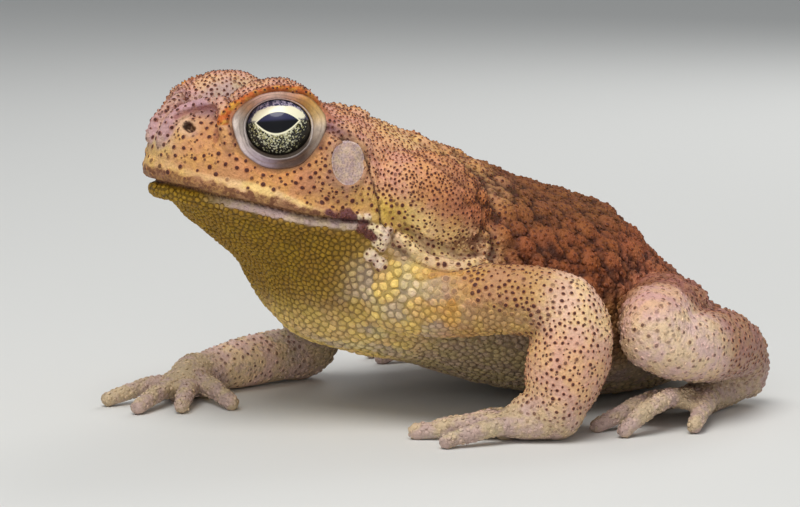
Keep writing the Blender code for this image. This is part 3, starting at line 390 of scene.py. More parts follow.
# Dark patches: the purple skin above the eardrum, and painted shade in the hollow behind and below the
# eye: line, reach, colour
PURPLE_AND_SHADE = (
    (((17.0, -34.9, 56.0), (18.6, -34.1, 56.2), (19.4, -33.0, 55.7), (21.0, -31.2, 54.3)), 1.1,
     (0.20, 0.09, 0.13)),
    (((18.1, -36.7, 53.9), (20.6, -36.7, 53.0)), 1.0, (0.20, 0.08, 0.035)),
)

# Granules: sides round, radius shares of their rings, how deep they stand in the skin as a share of
# their size, how many to a piece, first seed, neighbours that limit an outline, tries for each
# place, radius of a patch of the unwrap, and the height below which none stands, in mm
GRANULE_SIDES = 8
GRANULE_RINGS = (1.0, 0.72, 0.38)
GRANULE_SINK = 0.16
GRANULES_EACH = 4100
GRANULE_SEED = 30
NEIGHBOURS = 9
SCATTER_TRIES = 11.0
PATCH = 0.0015
LOWEST_GRANULE = 0.6

# Eyes and ears: steps along and round the eyeball; sides and colours of the ring of lids and of the
# drum, with the painted shade in their creases, folds, outer edge and groove; height that a ray to the
# skin starts at, in mm, its length in metres and rounds of evening out
EYE_STEPS = (66, 96)
RING_SIDES = 128
RING_FOLD_SHADE = (0.16, 0.09, 0.06)
RING_EDGE_SHADE = (0.16, 0.08, 0.05)
RING_CREASE_SHADE = (0.12, 0.075, 0.07)
RING_LOW = (0.055, 0.038, 0.026)
RING_PALE = (0.66, 0.60, 0.58)
RING_INNER_SHADE = (0.02, 0.014, 0.012)
RING_RAY = (14.0, 0.03, 10)
DRUM_SIDES = 72
DRUM_COLOUR = (0.49, 0.37, 0.29)
DRUM_MOTTLE = (0.44, 0.30, 0.27)
DRUM_GROOVE_SHADE = (0.34, 0.22, 0.17)
DRUM_EDGE = (0.60, 0.47, 0.44)
DRUM_RAY = (6.0, 0.012, 12)

# The ring of lids from the iris out and back below: share of the way out, height
RING_PROFILE = ((-0.06, -0.30), (0.0, 0.10), (0.05, 0.34), (0.11, 0.34), (0.17, 0.12), (0.24, 0.22),
                (0.36, 0.50), (0.50, 0.66), (0.64, 0.66), (0.76, 0.58), (0.86, 0.46), (0.94, 0.32),
                (1.0, 0.12), (1.05, -0.4), (0.8, -1.3), (0.4, -1.5), (0.1, -1.2))

# Colours round the ring, their own lavender, gold and brown with painted light on top and in front
# and painted shade from below round to behind: turn in degrees, spread, colour
RING_ZONES_AND_SHADE = (
    (-2.0, 0.40, (0.50, 0.42, 0.37)), (22.0, 0.28, (0.74, 0.47, 0.15)),
    (42.0, 0.30, (0.62, 0.29, 0.06)), (68.0, 0.35, (0.60, 0.28, 0.17)),
    (95.0, 0.40, (0.92, 0.62, 0.52)), (122.0, 0.30, (0.86, 0.50, 0.42)),
    (146.0, 0.30, (0.48, 0.22, 0.09)), (172.0, 0.30, (0.95, 0.82, 0.74)),
    (200.0, 0.36, (0.76, 0.63, 0.58)), (228.0, 0.35, (0.46, 0.37, 0.41)),
    (252.0, 0.26, (0.20, 0.14, 0.17)), (276.0, 0.26, (0.085, 0.045, 0.030)),
    (306.0, 0.36, (0.045, 0.018, 0.010)), (334.0, 0.30, (0.08, 0.045, 0.022)),
    (349.0, 0.16, (0.24, 0.16, 0.09)),
)

# The eardrum from behind to its middle: share of its radius, height
DRUM_PROFILE = ((0.3, -1.6), (0.9, -1.5), (1.06, -0.9), (1.07, -0.35), (1.0, -0.22), (0.9, -0.26),
                (0.75, -0.36), (0.55, -0.42), (0.35, -0.36), (0.15, -0.30), (0.04, -0.28))

# Patterns in the materials: scale, detail and roughness of each noise, scales of cells, and the
# tints and colours that they lay over the skin and the eardrum, among them the painted shade in the
# creases at the feet of the granules
WIDE_NOISE = (260.0, 3.0, 0.6)
MOTTLE_NOISE = (640.0, 4.0, 0.65)
FINE_NOISE = (1700.0, 3.0, 0.6)
GRAIN_CELLS = 1900.0
DOT_CELLS = 900.0
PATCH_LAVENDER = (0.98, 0.91, 1.00)
PATCH_YELLOW = (1.08, 1.07, 0.86)
CREASE_SHADE = (0.070, 0.035, 0.008)
HALO_COLOUR = (0.42, 0.14, 0.055)
DRUM_BEIGE = (1.06, 1.02, 0.92)
DRUM_LAVENDER = (0.84, 0.80, 0.92)

# The pupil before the eye, in mm: how far up, to the front and leaning; half its length; its
# heights below and above; and the eye's dark colours, with the painted reflection of the sky over
# the pupil's upper half and over the iris above the pupil
PUPIL_UP = 1.25
PUPIL_FRONT = 0.19
PUPIL_LEAN = 0.06
PUPIL_LONG = 3.9
PUPIL_LOW = 2.15
PUPIL_HIGH = 1.75
PUPIL_BLACK = (0.002, 0.002, 0.004)
PUPIL_SKY_REFLECTION = (0.030, 0.030, 0.080)
IRIS_BLACK = (0.012, 0.010, 0.007)
IRIS_SKY_REFLECTION = (0.045, 0.045, 0.105)
IRIS_PALE_REFLECTION = (0.42, 0.38, 0.50)
IRIS_SIDE_REFLECTION = (0.030, 0.030, 0.065)
IRIS_EDGE = (0.012, 0.008, 0.006)

# Stage, in metres but for the floor's depth in mm; each lamp's name, place, aim, size, power,
# colour and whether it shows in gloss
FLOOR_SIZE = 3.0
FLOOR_SINK = 0.02
CAMERA_PLACE = (0.6411, -0.3367, 0.1239)
LENS = 170.1
LIGHTS = (
    ("key", (0.30, -0.30, 0.95), (0.0, -0.01, 0.03), 0.80, 7.8, (1.0, 0.985, 0.96), True),
    ("fill", (0.85, -0.60, 0.35), (0.0, -0.02, 0.03), 0.70, 2.4, (0.98, 0.99, 1.0), False),
    ("rim", (-0.45, 0.55, 0.50), (0.0, 0.0, 0.03), 0.50, 2.0, (1.0, 1.0, 1.0), False),
)
SKY = ((0.88, 0.92, 0.96, 1.0), 0.30)


def smooth(low, high, value):
    """0 at low, 1 at high and a soft rise between them; low may be the larger."""
    share = np.clip((value - low) / (high - low), 0.0, 1.0)
    return share * share * (3.0 - 2.0 * share)


def bell(value, width, middle=0.0):
    """1 at the middle and falling away on both sides: e to the minus square of value over width."""
    return np.exp(-((value - middle) / width) ** 2)


def nearness(points, middle, size):
    """1 at the middle and falling away round it: e to the minus squared distance over size."""
    return np.exp(-((points - middle) ** 2).sum(axis=1) / size)


def unit(vector):
    """The vector at length 1."""
    return vector / np.linalg.norm(vector)


def on_side(rows, side):
    """Places, with any radii behind them, whose x is taken to this side: 1 left, -1 right."""
    rows = np.array(rows, float)
    return rows * ((side,) + (1.0,) * (rows.shape[-1] - 1))


def smooth_rows(rows, steps):
    """Rows on a Catmull-Rom curve through the given rows, with this many steps to a span."""
    rows = np.asarray(rows, float)
    padded = np.vstack([2 * rows[0] - rows[1], rows, 2 * rows[-1] - rows[-2]])
    a, b, c, d = (padded[i:len(rows) - 1 + i, None] for i in range(4))
    t = (np.arange(steps) / steps)[None, :, None]
    bend = 2 * a - 5 * b + 4 * c - d
    twist = 3 * b - a - 3 * c + d
    spans = 0.5 * (2 * b + (c - a) * t + bend * t ** 2 + twist * t ** 3)
    return np.vstack([spans.reshape(-1, rows.shape[1]), rows[-1:]])


def cloud(points, size, seed):
    """Soft noise from 0 to 1: random values on a cubic lattice, blended between its corners."""
    cells = np.random.default_rng(seed).random((32, 32, 32))
    place = points / size + 64.0
    base = np.floor(place).astype(int)
    share = place - base
    share = share * share * (3.0 - 2.0 * share)
    total = np.zeros(len(points))
    for corner in np.ndindex(2, 2, 2):
        weight = np.where(corner, share, 1.0 - share).prod(axis=1)
        x, y, z = ((base + corner) % 32).T
        total += weight * cells[x, y, z]
    return total


def mesh_object(name, points, faces):
    """A soft-shaded object from points in millimetres and an array of faces."""
    faces = np.asarray(faces)
    mesh = bpy.data.meshes.new(name)
    mesh.vertices.add(len(points))
    mesh.vertices.foreach_set("co", (np.asarray(points) * MM).ravel())
    mesh.loops.add(faces.size)
    mesh.loops.foreach_set("vertex_index", faces.ravel())
    mesh.polygons.add(len(faces))
    mesh.polygons.foreach_set("loop_start", np.arange(len(faces)) * faces.shape[1])
    mesh.update(calc_edges=True)
    mesh.validate()
    mesh.shade_smooth()
    thing = bpy.data.objects.new(name, mesh)
    bpy.context.scene.collection.objects.link(thing)
    return thing


def grid_faces(rows, sides, wrapped):
    """Triangles of a grid that closes on itself round, and end to end too where wrapped."""
    i, j = np.meshgrid(np.arange(rows if wrapped else rows - 1), np.arange(sides), indexing="ij")
    ahead = (i + 1) % rows
    beside = (j + 1) % sides
    corners = np.stack([i * sides + j, i * sides + beside, ahead * sides + beside,
                        ahead * sides + j], axis=-1).reshape(-1, 4)
    return np.vstack([corners[:, [0, 1, 2]], corners[:, [0, 2, 3]]])


def closed_loft(rings):
    """Points and triangles of a body through rings, its ends drawn to a point each."""
    rings = np.asarray(rings)
    rows, sides = rings.shape[:2]
    points = np.vstack([rings.reshape(-1, 3), rings[0].mean(axis=0), rings[-1].mean(axis=0)])
    j = np.arange(sides)
    k = (j + 1) % sides
    first = np.stack([k, j, np.full(sides, rows * sides)], axis=1)
    end = (rows - 1) * sides
    last = np.stack([end + j, end + k, np.full(sides, rows * sides + 1)], axis=1)
    return points, np.vstack([grid_faces(rows, sides, False), first, last])


def outward(points, faces):
    """The same triangles, turned over where the body would be inside out."""
    a, b, c = (points[faces[:, i]] for i in range(3))
    volume = np.einsum("ij,ij->i", a, np.cross(b, c)).sum()
    return faces if volume > 0 else faces[:, ::-1]


def skin_point(top, bottom, half, middle, square, keel, turn):
    """Across and up on one upright section of the trunk, at these turns up from the level line."""
    across, rise = np.cos(turn), np.sin(turn)
    power = np.where(rise > 0, square, keel)
    x = half * np.sign(across) * np.abs(across) ** power
    reach = np.where(rise > 0, top - middle, bottom - middle)
    return x, middle + reach * np.abs(rise) ** power


def trunk():
    """Head and body in one loft from snout to vent."""
    turn = np.linspace(0, 2 * math.pi, TRUNK_SIDES, endpoint=False)
    rings = []
    for row in smooth_rows(TRUNK, TRUNK_STEPS):
        x, z = skin_point(*row[1:], turn)
        rings.append(np.stack([x, np.full_like(x, row[0]), z], axis=1))
    return closed_loft(rings)


def tube(rows):
    """A bent tube with round ends: circles whose radii follow the rows, square to their line."""
    rows = smooth_rows(rows, TUBE_STEPS)
    path, radii = rows[:, :3], rows[:, 3]
    angle = np.linspace(0, 2 * math.pi, TUBE_SIDES, endpoint=False)
    rings = []
    side = None
    for i, centre in enumerate(path):
        ahead = path[min(i + 1, len(path) - 1)] - path[max(i - 1, 0)]
        ahead = unit(ahead)
        if side is None:
            side = np.cross(ahead, TUBE_LEAN)
        side = unit(side - ahead * side.dot(ahead))
        circle = np.outer(np.cos(angle), side) + np.outer(np.sin(angle), np.cross(ahead, side))
        shifts = [(0.0, 1.0)]
        if i == 0:
            shifts = [(-share, math.sqrt(1 - share ** 2)) for share in END_SHARES] + shifts
        if i == len(path) - 1:
            shifts += [(share, math.sqrt(1 - share ** 2)) for share in END_SHARES[::-1]]
        for along, width in shifts:
            rings.append(centre + ahead * along * radii[i] + circle * radii[i] * width)
    return closed_loft(rings)


def ellipsoid(centre, half_sizes, axis=(0.0, 1.0, 0.0)):
    """A sphere stretched to half sizes and turned so that its second one lies along the axis."""
    slope = np.linspace(0.0, math.pi, BALL_STEPS[0])[1:-1, None]
    turn = np.linspace(0, 2 * math.pi, BALL_STEPS[1], endpoint=False)[None]
    rings = np.stack([np.sin(slope) * np.cos(turn), np.cos(slope) + 0 * turn,
                      np.sin(slope) * np.sin(turn)], axis=-1) * half_sizes
    spin = Vector((0.0, 1.0, 0.0)).rotation_difference(Vector(axis)).to_matrix()
    return closed_loft(rings @ np.array(spin).T + np.array(centre))


def head_forms(side):
    """Eye bulge, lid's edge, crests, lips, fold and gland of one side."""
    half = (GLAND_SIZE[2], GLAND_SIZE[0], GLAND_SIZE[1])
    ridges = (LID_EDGE, CANTHUS, BEFORE_EYE, CROWN, EAR_RIDGE, UPPER_LIP, LOWER_LIP, SHOULDER_FOLD)
    return [ellipsoid(on_side(LID_CENTRE, side), LID_SIZE),
            *(tube(on_side(rows, side)) for rows in ridges),
            ellipsoid(on_side(GLAND_CENTRE, side), half, on_side(GLAND_AXIS, side))]


def hand_forms(wrist, heading):
    """Palm and four fingers that spread from the wrist, flat on the ground."""
    wrist = np.array(wrist[:3])
    ahead = np.array((math.sin(heading), -math.cos(heading), 0.0))
    across = np.array((math.cos(heading), math.sin(heading), 0.0))
    palm = wrist + ahead * PALM_LENGTH
    mid = 0.5 * (wrist + palm)
    palm[2] = PALM_END_HEIGHT
    forms = [ellipsoid((mid[0], mid[1], PALM_HEIGHT), PALM_SIZE, ahead),
             tube(np.column_stack([(wrist, mid, palm), WRIST_RADII]))]
    for angle, length in FINGERS:
        turn = math.radians(angle) * math.copysign(1.0, wrist[0])
        way = ahead * math.cos(turn) + across * math.sin(turn)
        root = wrist + ahead * PALM_LENGTH * FINGER_ROOT[0]
        root = root + across * math.sin(turn) * FINGER_ROOT[1]
        points = []
        for share, height, width in FINGER_SHAPE:
            spot = root + way * length * share
            points.append((spot[0], spot[1], height, FINGER_RADIUS * width))
        forms.append(tube(points))
    return forms


def web(first, second):
    """A thin skin between the lower parts of two toes."""
    one = smooth_rows(first, TUBE_STEPS)
    two = smooth_rows(second, TUBE_STEPS)
    fall = np.array((0.0, 0.0, WEB_THICKNESS / 2))
    rings = []
    for share in np.linspace(*WEB_REACH, WEB_ROWS):
        a = one[int(round(share * (len(one) - 1)))][:3]
        b = two[int(round(share * (len(two) - 1)))][:3]
        rings.append([a + fall, b + fall, b - fall, a - fall])
    return closed_loft(rings)


def hind_forms(side):
    """Thigh, shank, tarsus, five toes and the webs between them."""
    forms = [tube(on_side(rows, side)) for rows in (LEG, SHANK, TARSUS)]
    toes = [on_side(toe, side) for toe in TOES]
    for toe in toes:
        forms.append(tube(np.column_stack([toe, np.linspace(*TOE_TAPER, len(toe)) * TOE_RADIUS])))
    forms += [web(first, second) for first, second in zip(toes[:-1], toes[1:])]
    return forms


def apply_modifiers(thing):
    """Replace an object's mesh by what its modifiers make of it."""
    graph = bpy.context.evaluated_depsgraph_get()
    mesh = bpy.data.meshes.new_from_object(thing.evaluated_get(graph))
    thing.modifiers.clear()
    thing.data = mesh


def fuse(forms, voxel):
    """One closed skin over all the overlapping forms, remade on a grid of small cells."""
    points, faces, count = [], [], 0
    for form_points, form_faces in forms:
        points.append(form_points)
        faces.append(outward(form_points, form_faces) + count)
        count += len(form_points)
    whole = mesh_object("toad_skin", np.vstack(points), np.vstack(faces))
    remesh = whole.modifiers.new("fuse", "REMESH")
    remesh.mode = "VOXEL"
    remesh.voxel_size = voxel * MM
    apply_modifiers(whole)
    return whole


def read_points(mesh):
    """The mesh's vertices as an array in millimetres."""
    points = np.empty(len(mesh.vertices) * 3)
    mesh.vertices.foreach_get("co", points)
    return points.reshape(-1, 3) / MM


def write_points(mesh, points):
    """Put an array of points in millimetres back into the mesh."""
    mesh.vertices.foreach_set("co", (points * MM).ravel())
    mesh.update()


def read_normals(mesh):
    """The vertex normals as an array."""
    normals = np.empty(len(mesh.vertices) * 3)
    mesh.vertices.foreach_get("normal", normals)
    return normals.reshape(-1, 3)


def neighbour_mean(mesh):
    """A function that gives every value's mean over the neighbouring vertices."""
    edges = np.empty(len(mesh.edges) * 2, dtype=np.int64)
    mesh.edges.foreach_get("vertices", edges)
    one, two = edges.reshape(-1, 2).T
    size = len(mesh.vertices)
    count = np.bincount(one, minlength=size) + np.bincount(two, minlength=size)

    def mean(values):
        """Each column's mean over the vertices that share an edge."""
        columns = [np.bincount(one, column[two], size) + np.bincount(two, column[one], size)
                   for column in values.T]
        return np.stack(columns, axis=1) / count[:, None]
    return mean


def relax(mesh, rounds):
    """Even out the surface: points move to the mean of their neighbours, less on the soles."""
    points = read_points(mesh)
    mean = neighbour_mean(mesh)
    share = 1.0 - SOLE_KEEP * (points[:, 2:] < SOLE_HEIGHT)
    for step in range(rounds):
        for weight in RELAX_SHARES:
            points = points + weight * share * (mean(points) - points)
    write_points(mesh, points)


def line_distance(points, line, normals=None):
    """How far every point lies from a line of points, seen square to its normal if one is given."""
    line = np.array(line, float)
    best = np.full(len(points), np.inf)
    for start, end in zip(line[:-1], line[1:]):
        way = end - start
        share = np.clip((points - start) @ way / way.dot(way), 0.0, 1.0)
        gap = points - start - share[:, None] * way
        if normals is not None:
            depth = np.einsum("ij,ij->i", gap, normals)
            gap = gap - normals * (depth * (np.abs(depth) < 4.0))[:, None]
        best = np.minimum(best, np.linalg.norm(gap, axis=1))
    return best


def folded(points):
    """The points with the right side laid over the left."""
    return np.abs(points) * (1.0, 0.0, 0.0) + points * (0.0, 1.0, 1.0)


def folded_normals(points, normals):
    """Their normals, laid over in the same way."""
    return normals * np.where(points[:, :1] < 0, (-1.0, 1.0, 1.0), 1.0)


def crease_gaps(near, facing):
    """How far every point lies from each crease of the skin."""
    return {name: line_distance(near, line, facing) for name, (line, swells) in CREASES.items()}


def height_over(points, line):
    """How far each point stands above a line given as y and height, seen from the side."""
    y, height = np.array(line).T
    slope = np.gradient(height, y)
    lean = 1.0 / np.sqrt(1.0 + np.interp(points[:, 1], y, slope) ** 2)
    return (points[:, 2] - np.interp(points[:, 1], y, height)) * lean


def large_warts():
    """Middle and radius of each large wart: the placed ones on both sides and others between."""
    warts = [np.array(wart) for wart in PLACED_WARTS]
    warts += [on_side(wart, -1.0) for wart in warts]
    rows = smooth_rows(TRUNK, TRUNK_STEPS)
    draw = np.random.default_rng(WART_SEED)
    for attempt in range(WART_TRIES):
        y = draw.uniform(*WART_REACH)
        turn = math.radians(draw.uniform(*WART_TURN))
        radius = draw.uniform(*WART_RADIUS)
        row = [np.interp(y, rows[:, 0], column) for column in rows[:, 1:].T]
        x, z = skin_point(*row, turn)
        spot = np.array((float(x), y, float(z)))
        others = np.array(warts)
        room = np.linalg.norm(others[:, :3] - spot, axis=1)
        if (room > WART_SPACING * (radius + others[:, 3])).all():
            warts.append(np.array((*spot, radius)))
    return np.array(warts)


def strewn_warts(points, where, warts, rule, seed):
    """Small warts between the others: tried at random points where they may be, with room kept."""
    (small, large), tries, spacing = rule
    draw = np.random.default_rng(seed)
    choices = draw.choice(np.flatnonzero(where), tries)
    radii = draw.uniform(small, large, tries)
    result = np.vstack([warts, np.zeros((tries, 4))])
    count = len(warts)
    for spot, radius in zip(points[choices], radii):
        room = np.linalg.norm(result[:count, :3] - spot, axis=1)
        if (room > spacing * (radius + result[:count, 3])).all():
            result[count] = (*spot, radius)
            count += 1
    return result[:count]


def dome_heights(points, warts, roundness):
    """How high each point stands on the highest of the wart domes over it, their outlines bent by
    noise: radius times a power of 1 - share squared."""
    best = np.zeros(len(points))
    size, reach = WART_BEND
    bent = points + reach * (np.stack([cloud(points, size, seed) for seed in (1, 2, 3)], axis=1) - 0.5)
    order = np.argsort(bent[:, 1])
    bent = bent[order]
    for x, y, z, radius in warts:
        first, last = np.searchsorted(bent[:, 1], (y - radius, y + radius))
        share = ((bent[first:last] - (x, y, z)) ** 2).sum(axis=1) / radius ** 2
        dome = radius * np.clip(1.0 - share, 0.0, 1.0) ** roundness
        near = order[first:last]
        best[near] = np.maximum(best[near], dome)
    return best


def region_values(points):
    """Colour and granule values at every point: the regions' means, weighed by nearness."""
    total = np.zeros((len(points), 9))
    near = folded(points)
    for colour, grain, spread, spots in REGIONS.values():
        row = np.array((*colour, *grain, 1.0))
        for spot in spots:
            gap = ((near - spot) ** 2).sum(axis=1) / spread ** 2
            total += (np.exp(-gap) + 1e-3 / (1.0 + gap) ** 3)[:, None] * row
    return total[:, :3] / total[:, 8:], total[:, 3:8] / total[:, 8:]


def eye_frame():
    """The left eye's centre and its level, rising and outward directions."""
    axis = unit(np.array(EYE_AXIS))
    level = unit(np.cross((0.0, 0.0, 1.0), axis))
    return np.array(EYE_CENTRE), np.stack([level, np.cross(axis, level), axis])


def ring_reach(turn):
    """How far the outer edge of the ring of lids lies from the line of sight, at each turn."""
    across, up = smooth_rows(np.vstack([EYE_RING, EYE_RING[:1]]), 6).T
    return np.interp(turn, np.arctan2(up, across), np.hypot(across, up), period=2 * math.pi)


def ring_share(across, up):
    """How far out a place before the eye lies: 1 is the outer edge of the ring of lids."""
    return np.hypot(across, up) / ring_reach(np.arctan2(up, across))


def iris_share(across, up):
    """The same for the iris."""
    return np.hypot((across - IRIS_PLACE[0]) / IRIS_SIZE[0], (up - IRIS_PLACE[1]) / IRIS_SIZE[1])


def ear_place(points):
    """Level and rising place on the eardrum's face, in its half sizes, and height over it."""
    normal = unit(np.array(EAR_NORMAL))
    level = unit(np.cross((0.0, 0.0, 1.0), normal))
    rising = np.cross(normal, level)
    turn = math.radians(EAR_TILT)
    one = level * math.cos(turn) + rising * math.sin(turn)
    two = rising * math.cos(turn) - level * math.sin(turn)
    gap = points - np.array(EAR_CENTRE)
    return gap @ one / EAR_SIZE[0], gap @ two / EAR_SIZE[1], gap @ normal, (one, two, normal)


def paint(colours, share, colour):
    """Lay a colour over the others by this share."""
    return colours + np.asarray(share)[:, None] * (np.asarray(colour) - colours)


def back_share(points, rows):
    """1 on the back and flanks, 0 on the head, the belly and the limbs."""
    y = points[:, 1]
    middle = np.interp(y, rows[:, 0], rows[:, 4])
    half = np.interp(y, rows[:, 0], rows[:, 3])
    limb = smooth(half + 2.6, half + 1.4, np.abs(points[:, 0]))
    return smooth(-16.0, -6.0, y) * smooth(middle - 4.0, middle + 2.0, points[:, 2]) * limb


def leg_share(points):
    """1 on the upper faces of the folded hind legs, 0 elsewhere."""
    near = folded(points)
    leg = np.minimum(line_distance(near, np.array(LEG)[1:, :3]),
                     line_distance(near, np.array(SHANK)[:5, :3]))
    outer = smooth(44.0, 39.0, near[:, 0])
    high = smooth(9.0, 14.0, near[:, 2])
    return outer * smooth(11.0, 9.0, leg) * high * smooth(22.0, 27.0, near[:, 0])


def press_head(points, normals):
    """How far the fine forms of the head push each point out, in millimetres: the bells along the
    mouth and the creases, a dent before the eye, the lid's beads and an uneven gland."""
    near, facing = folded(points), folded_normals(points, normals)
    gaps = crease_gaps(near, facing)

    def swell(name):
        """The bells along one crease, added up."""
        return sum(height * bell(gaps[name], width, middle)
                   for height, middle, width in CREASES[name][1])

    head = smooth(-27.0, -31.0, near[:, 1])
    over = height_over(near, MOUTH)
    push = np.zeros(len(points))
    for height, middle, width in MOUTH_SWELLS:
        push += height * head * bell(over, width, middle)
    push += swell("nostril")
    push -= 0.9 * nearness(near, HOLLOW, 8.0)
    for name in ("hollow", "neck", "rim", "cream"):
        push += swell(name)
    for line, height, width in CREST_SWELLS:
        push += height * bell(line_distance(near, np.array(line)[:, :3], facing), width)
    push += swell("ridge")
    push += 0.25 * (cloud(points, 0.8, 22) - 0.4) * smooth(1.4, 0.6, gaps["ridge"])
    gland = nearness(near, GLAND_CENTRE, 260.0) * smooth(20.0, 24.0, near[:, 0])
    uneven = (0.6 + 0.9 * gland) * (cloud(points, 3.2, 5) - 0.5)
    push += uneven * smooth(-60.0, -50.0, -np.abs(points[:, 1]))
    return push


def clear_eye(points):
    """Sink the skin under the ring of lids and, inside that, under the eyeball."""
    centre, axes = eye_frame()
    side = np.where(points[:, :1] < 0, -1.0, 1.0)
    across, up, out = ((folded(points) - centre) @ axes.T).T
    share = ring_share(across, up)
    inside = (share < 1.0) & (out > 0)
    sunk = np.minimum(out, out - 2.2 * smooth(1.0, 0.9, share))
    ball = np.sqrt(np.maximum(EYE_RADIUS ** 2 - across ** 2 - up ** 2, 1.0)) - 0.9
    target = np.where(iris_share(across, up) < 1.12, np.minimum(sunk, ball), sunk)
    moved = centre + np.stack([across, up, np.where(inside, target, out)], axis=1) @ axes
    moved[:, :1] *= side
    return np.where(inside[:, None], moved, points)


def clear_ear(points):
    """Sink the skin under each eardrum and raise a low rim round it."""
    side = np.where(points[:, :1] < 0, -1.0, 1.0)
    near = folded(points)
    across, up, out, axes = ear_place(near)
    share = np.sqrt(across ** 2 + up ** 2)
    close = (share < 1.6) & (np.abs(out) < 5.0)
    push = 0.35 * np.exp(-((share - 1.12) / 0.12) ** 2) - 1.1 * smooth(1.02, 0.85, share)
    near = near + (push * close)[:, None] * axes[2]
    near[:, :1] *= side
    return np.where(close[:, None], near, points)


def mouth_paint(points, near, head, over, colours, grain):
    """Throat below the mouth and lips round it. It gives also the shares of the ragged brown margin
    over the mouth and of the pale band above that."""
    under_lip = height_over(near, LIP_TOP)
    above = head * smooth(-0.2, 0.2, over)
    below = head * smooth(0.2, -0.2, over)
    throat_colour, throat_grain = REGIONS["throat"][:2]
    lower = below * smooth(-2.3, -1.5, over)
    colours = paint(colours, lower, throat_colour)
    grain = paint(grain, lower, throat_grain)
    front = smooth(-50.0, -58.0, near[:, 1])[:, None]
    upper = above * smooth(3.0, 0.5, under_lip)
    band = above * smooth(0.4, -0.4, under_lip)
    colours = paint(colours, 0.6 * upper, LIP_COLOUR)
    band_colour = np.array(LIP_BAND) * (1 - front) + front * LIP_BAND_FRONT
    colours = paint(colours, 0.9 * band, band_colour)
    grain = paint(grain, upper, LIP_GRAIN)
    ragged = 1.3 * (cloud(points, 1.1, 19) - 0.5)
    reach = np.interp(near[:, 1], (-60, -45, -35), (2.5, 2.0, 0.9))
    margin = above * smooth(0.4, -0.4, over + ragged - reach)
    colours = paint(colours, 0.8 * margin, LIP_MARGIN)
    lip = below * smooth(-1.9, -1.4, over) * smooth(-57.0, -51.0, near[:, 1])
    colours = paint(colours, 0.85 * lip, LOWER_LIP_COLOUR)
    bare = np.maximum(lip, head * smooth(-0.7, -0.3, over) * smooth(1.5, 0.8, over))
    return colours, paint(grain, bare, BARE_GRAIN), 0.56 * margin, band


def corner_paint(near, colours, grain, blotch):
    """The cluster of small warts behind the mouth: white behind, dark purple in front."""
    for table, colour, beads in CORNER_WARTS:
        for x, y, z, radius in table:
            gap = np.linalg.norm(near - (x, y, z), axis=1) / radius
            colours = paint(colours, 0.95 * smooth(1.25, 0.95, gap), colour)
            grain = paint(grain, smooth(1.3, 1.0, gap), beads)
            blotch = blotch * (1.0 - smooth(1.3, 1.0, gap))
    return colours, grain, blotch


def lid_paint(points, ridge, share, up, out, colours):
    """The beaded orange ridge of the upper lid with a painted highlight on its raised beads, and
    painted brown shade under the ridge and round the ring of lids.
    """
    lid = smooth(1.3, 1.1, share) * smooth(0.5, 2.0, up) * smooth(0.0, 1.0, out)
    colours = paint(colours, 0.6 * smooth(1.7, 1.0, ridge), RIDGE_FOOT)
    # painted shade between the ring of lids and the ridge above it
    colours = paint(colours, 0.8 * lid, LID_SHADE)
    # a painted yellow highlight where the ridge's beads stand up, on the same noise that raises them
    beads = smooth(0.45, 0.75, cloud(points, 0.8, 22))[:, None]
    colours = paint(colours, 0.97 * smooth(0.85, 0.5, ridge), RIDGE_ORANGE + beads * BEAD_HIGHLIGHT)
    shade = 0.75 * smooth(0.75, 0.45, ridge) * smooth(1.16, 1.04, share)
    colours = paint(colours, shade, RIDGE_SHADE)
    # painted shade under the eye, just outside the ring of lids
    under = smooth(1.16, 1.02, share) * smooth(2.0, -1.0, up)
    return paint(colours, 0.75 * under, UNDER_EYE_SHADE)


def crease_paint(near, gaps, mouth, colours):
    """Painted shade inside the nostril under its pale rim, in the hollow before the eye and along its
    edge, in the fold of the neck, along the line of the mouth and on the edge of the gland; the pale
    fold below the gland, with painted shade in the crease beside it."""
    colours = paint(colours, 0.75 * smooth(2.4, 1.2, gaps["nostril"]), NOSTRIL_RIM)
    # painted shade inside the nostril
    colours = paint(colours, smooth(0.98, 0.52, gaps["nostril"]), NOSTRIL_SHADE)
    # painted shade in the groove along the hollow's edge, and in the dent of the hollow
    colours = paint(colours, 0.65 * smooth(0.85, 0.2, gaps["hollow"]), HOLLOW_EDGE_SHADE)
    hollow = nearness(near, HOLLOW, 7.0)
    colours = paint(colours, 0.5 * np.clip(hollow * 1.4, 0, 1), HOLLOW_SHADE)
    # painted shade in the crease of the neck's fold
    colours = paint(colours, 0.9 * smooth(0.34, 0.12, gaps["neck"]), NECK_CREASE_SHADE)
    # painted shade along the line of the mouth
    colours = paint(colours, mouth, MOUTH_SHADE)
    # painted shade in the crease along the rear part of the gland's edge
    edge = 0.5 * smooth(1.0, 0.3, gaps["rim"]) * smooth(-24.0, -16.0, near[:, 1])
    colours = paint(colours, edge, GLAND_RIM_SHADE)
    colours = paint(colours, 0.8 * smooth(1.4, 0.8, gaps["cream"]), CREAM_COLOUR)
    return paint(colours, 0.6 * bell(gaps["cream"], 0.35, 1.7), CREAM_SHADE)


def wart_paint(near, warty, dome, patches, colours):
    """Warts: more orange in patches and a little lighter on their tops, painted shade of dark brown
    between them and down their flanks, partly the skin's own darker colour there, and orange ones
    along the back's middle.
    """
    colours = paint(colours, warty * (0.25 + 0.5 * patches), colours * WART_TOP)
    middle = warty * smooth(5.0, 2.0, near[:, 0]) * smooth(12.0, -4.0, near[:, 1])
    colours = paint(colours, 0.5 * middle * smooth(0.3, 0.8, dome), MIDDLE_WARTS)
    # painted shade: dark between the warts and down their flanks, partly the skin's own, rising to a
    # little lighter than the skin on their tops
    gap_shade = colours * WART_GAP_SHADE
    rise = smooth(0.10, 0.85, dome)[:, None]
    warts = gap_shade + rise * (1.12 * colours - gap_shade)
    return paint(colours, warty, warts)


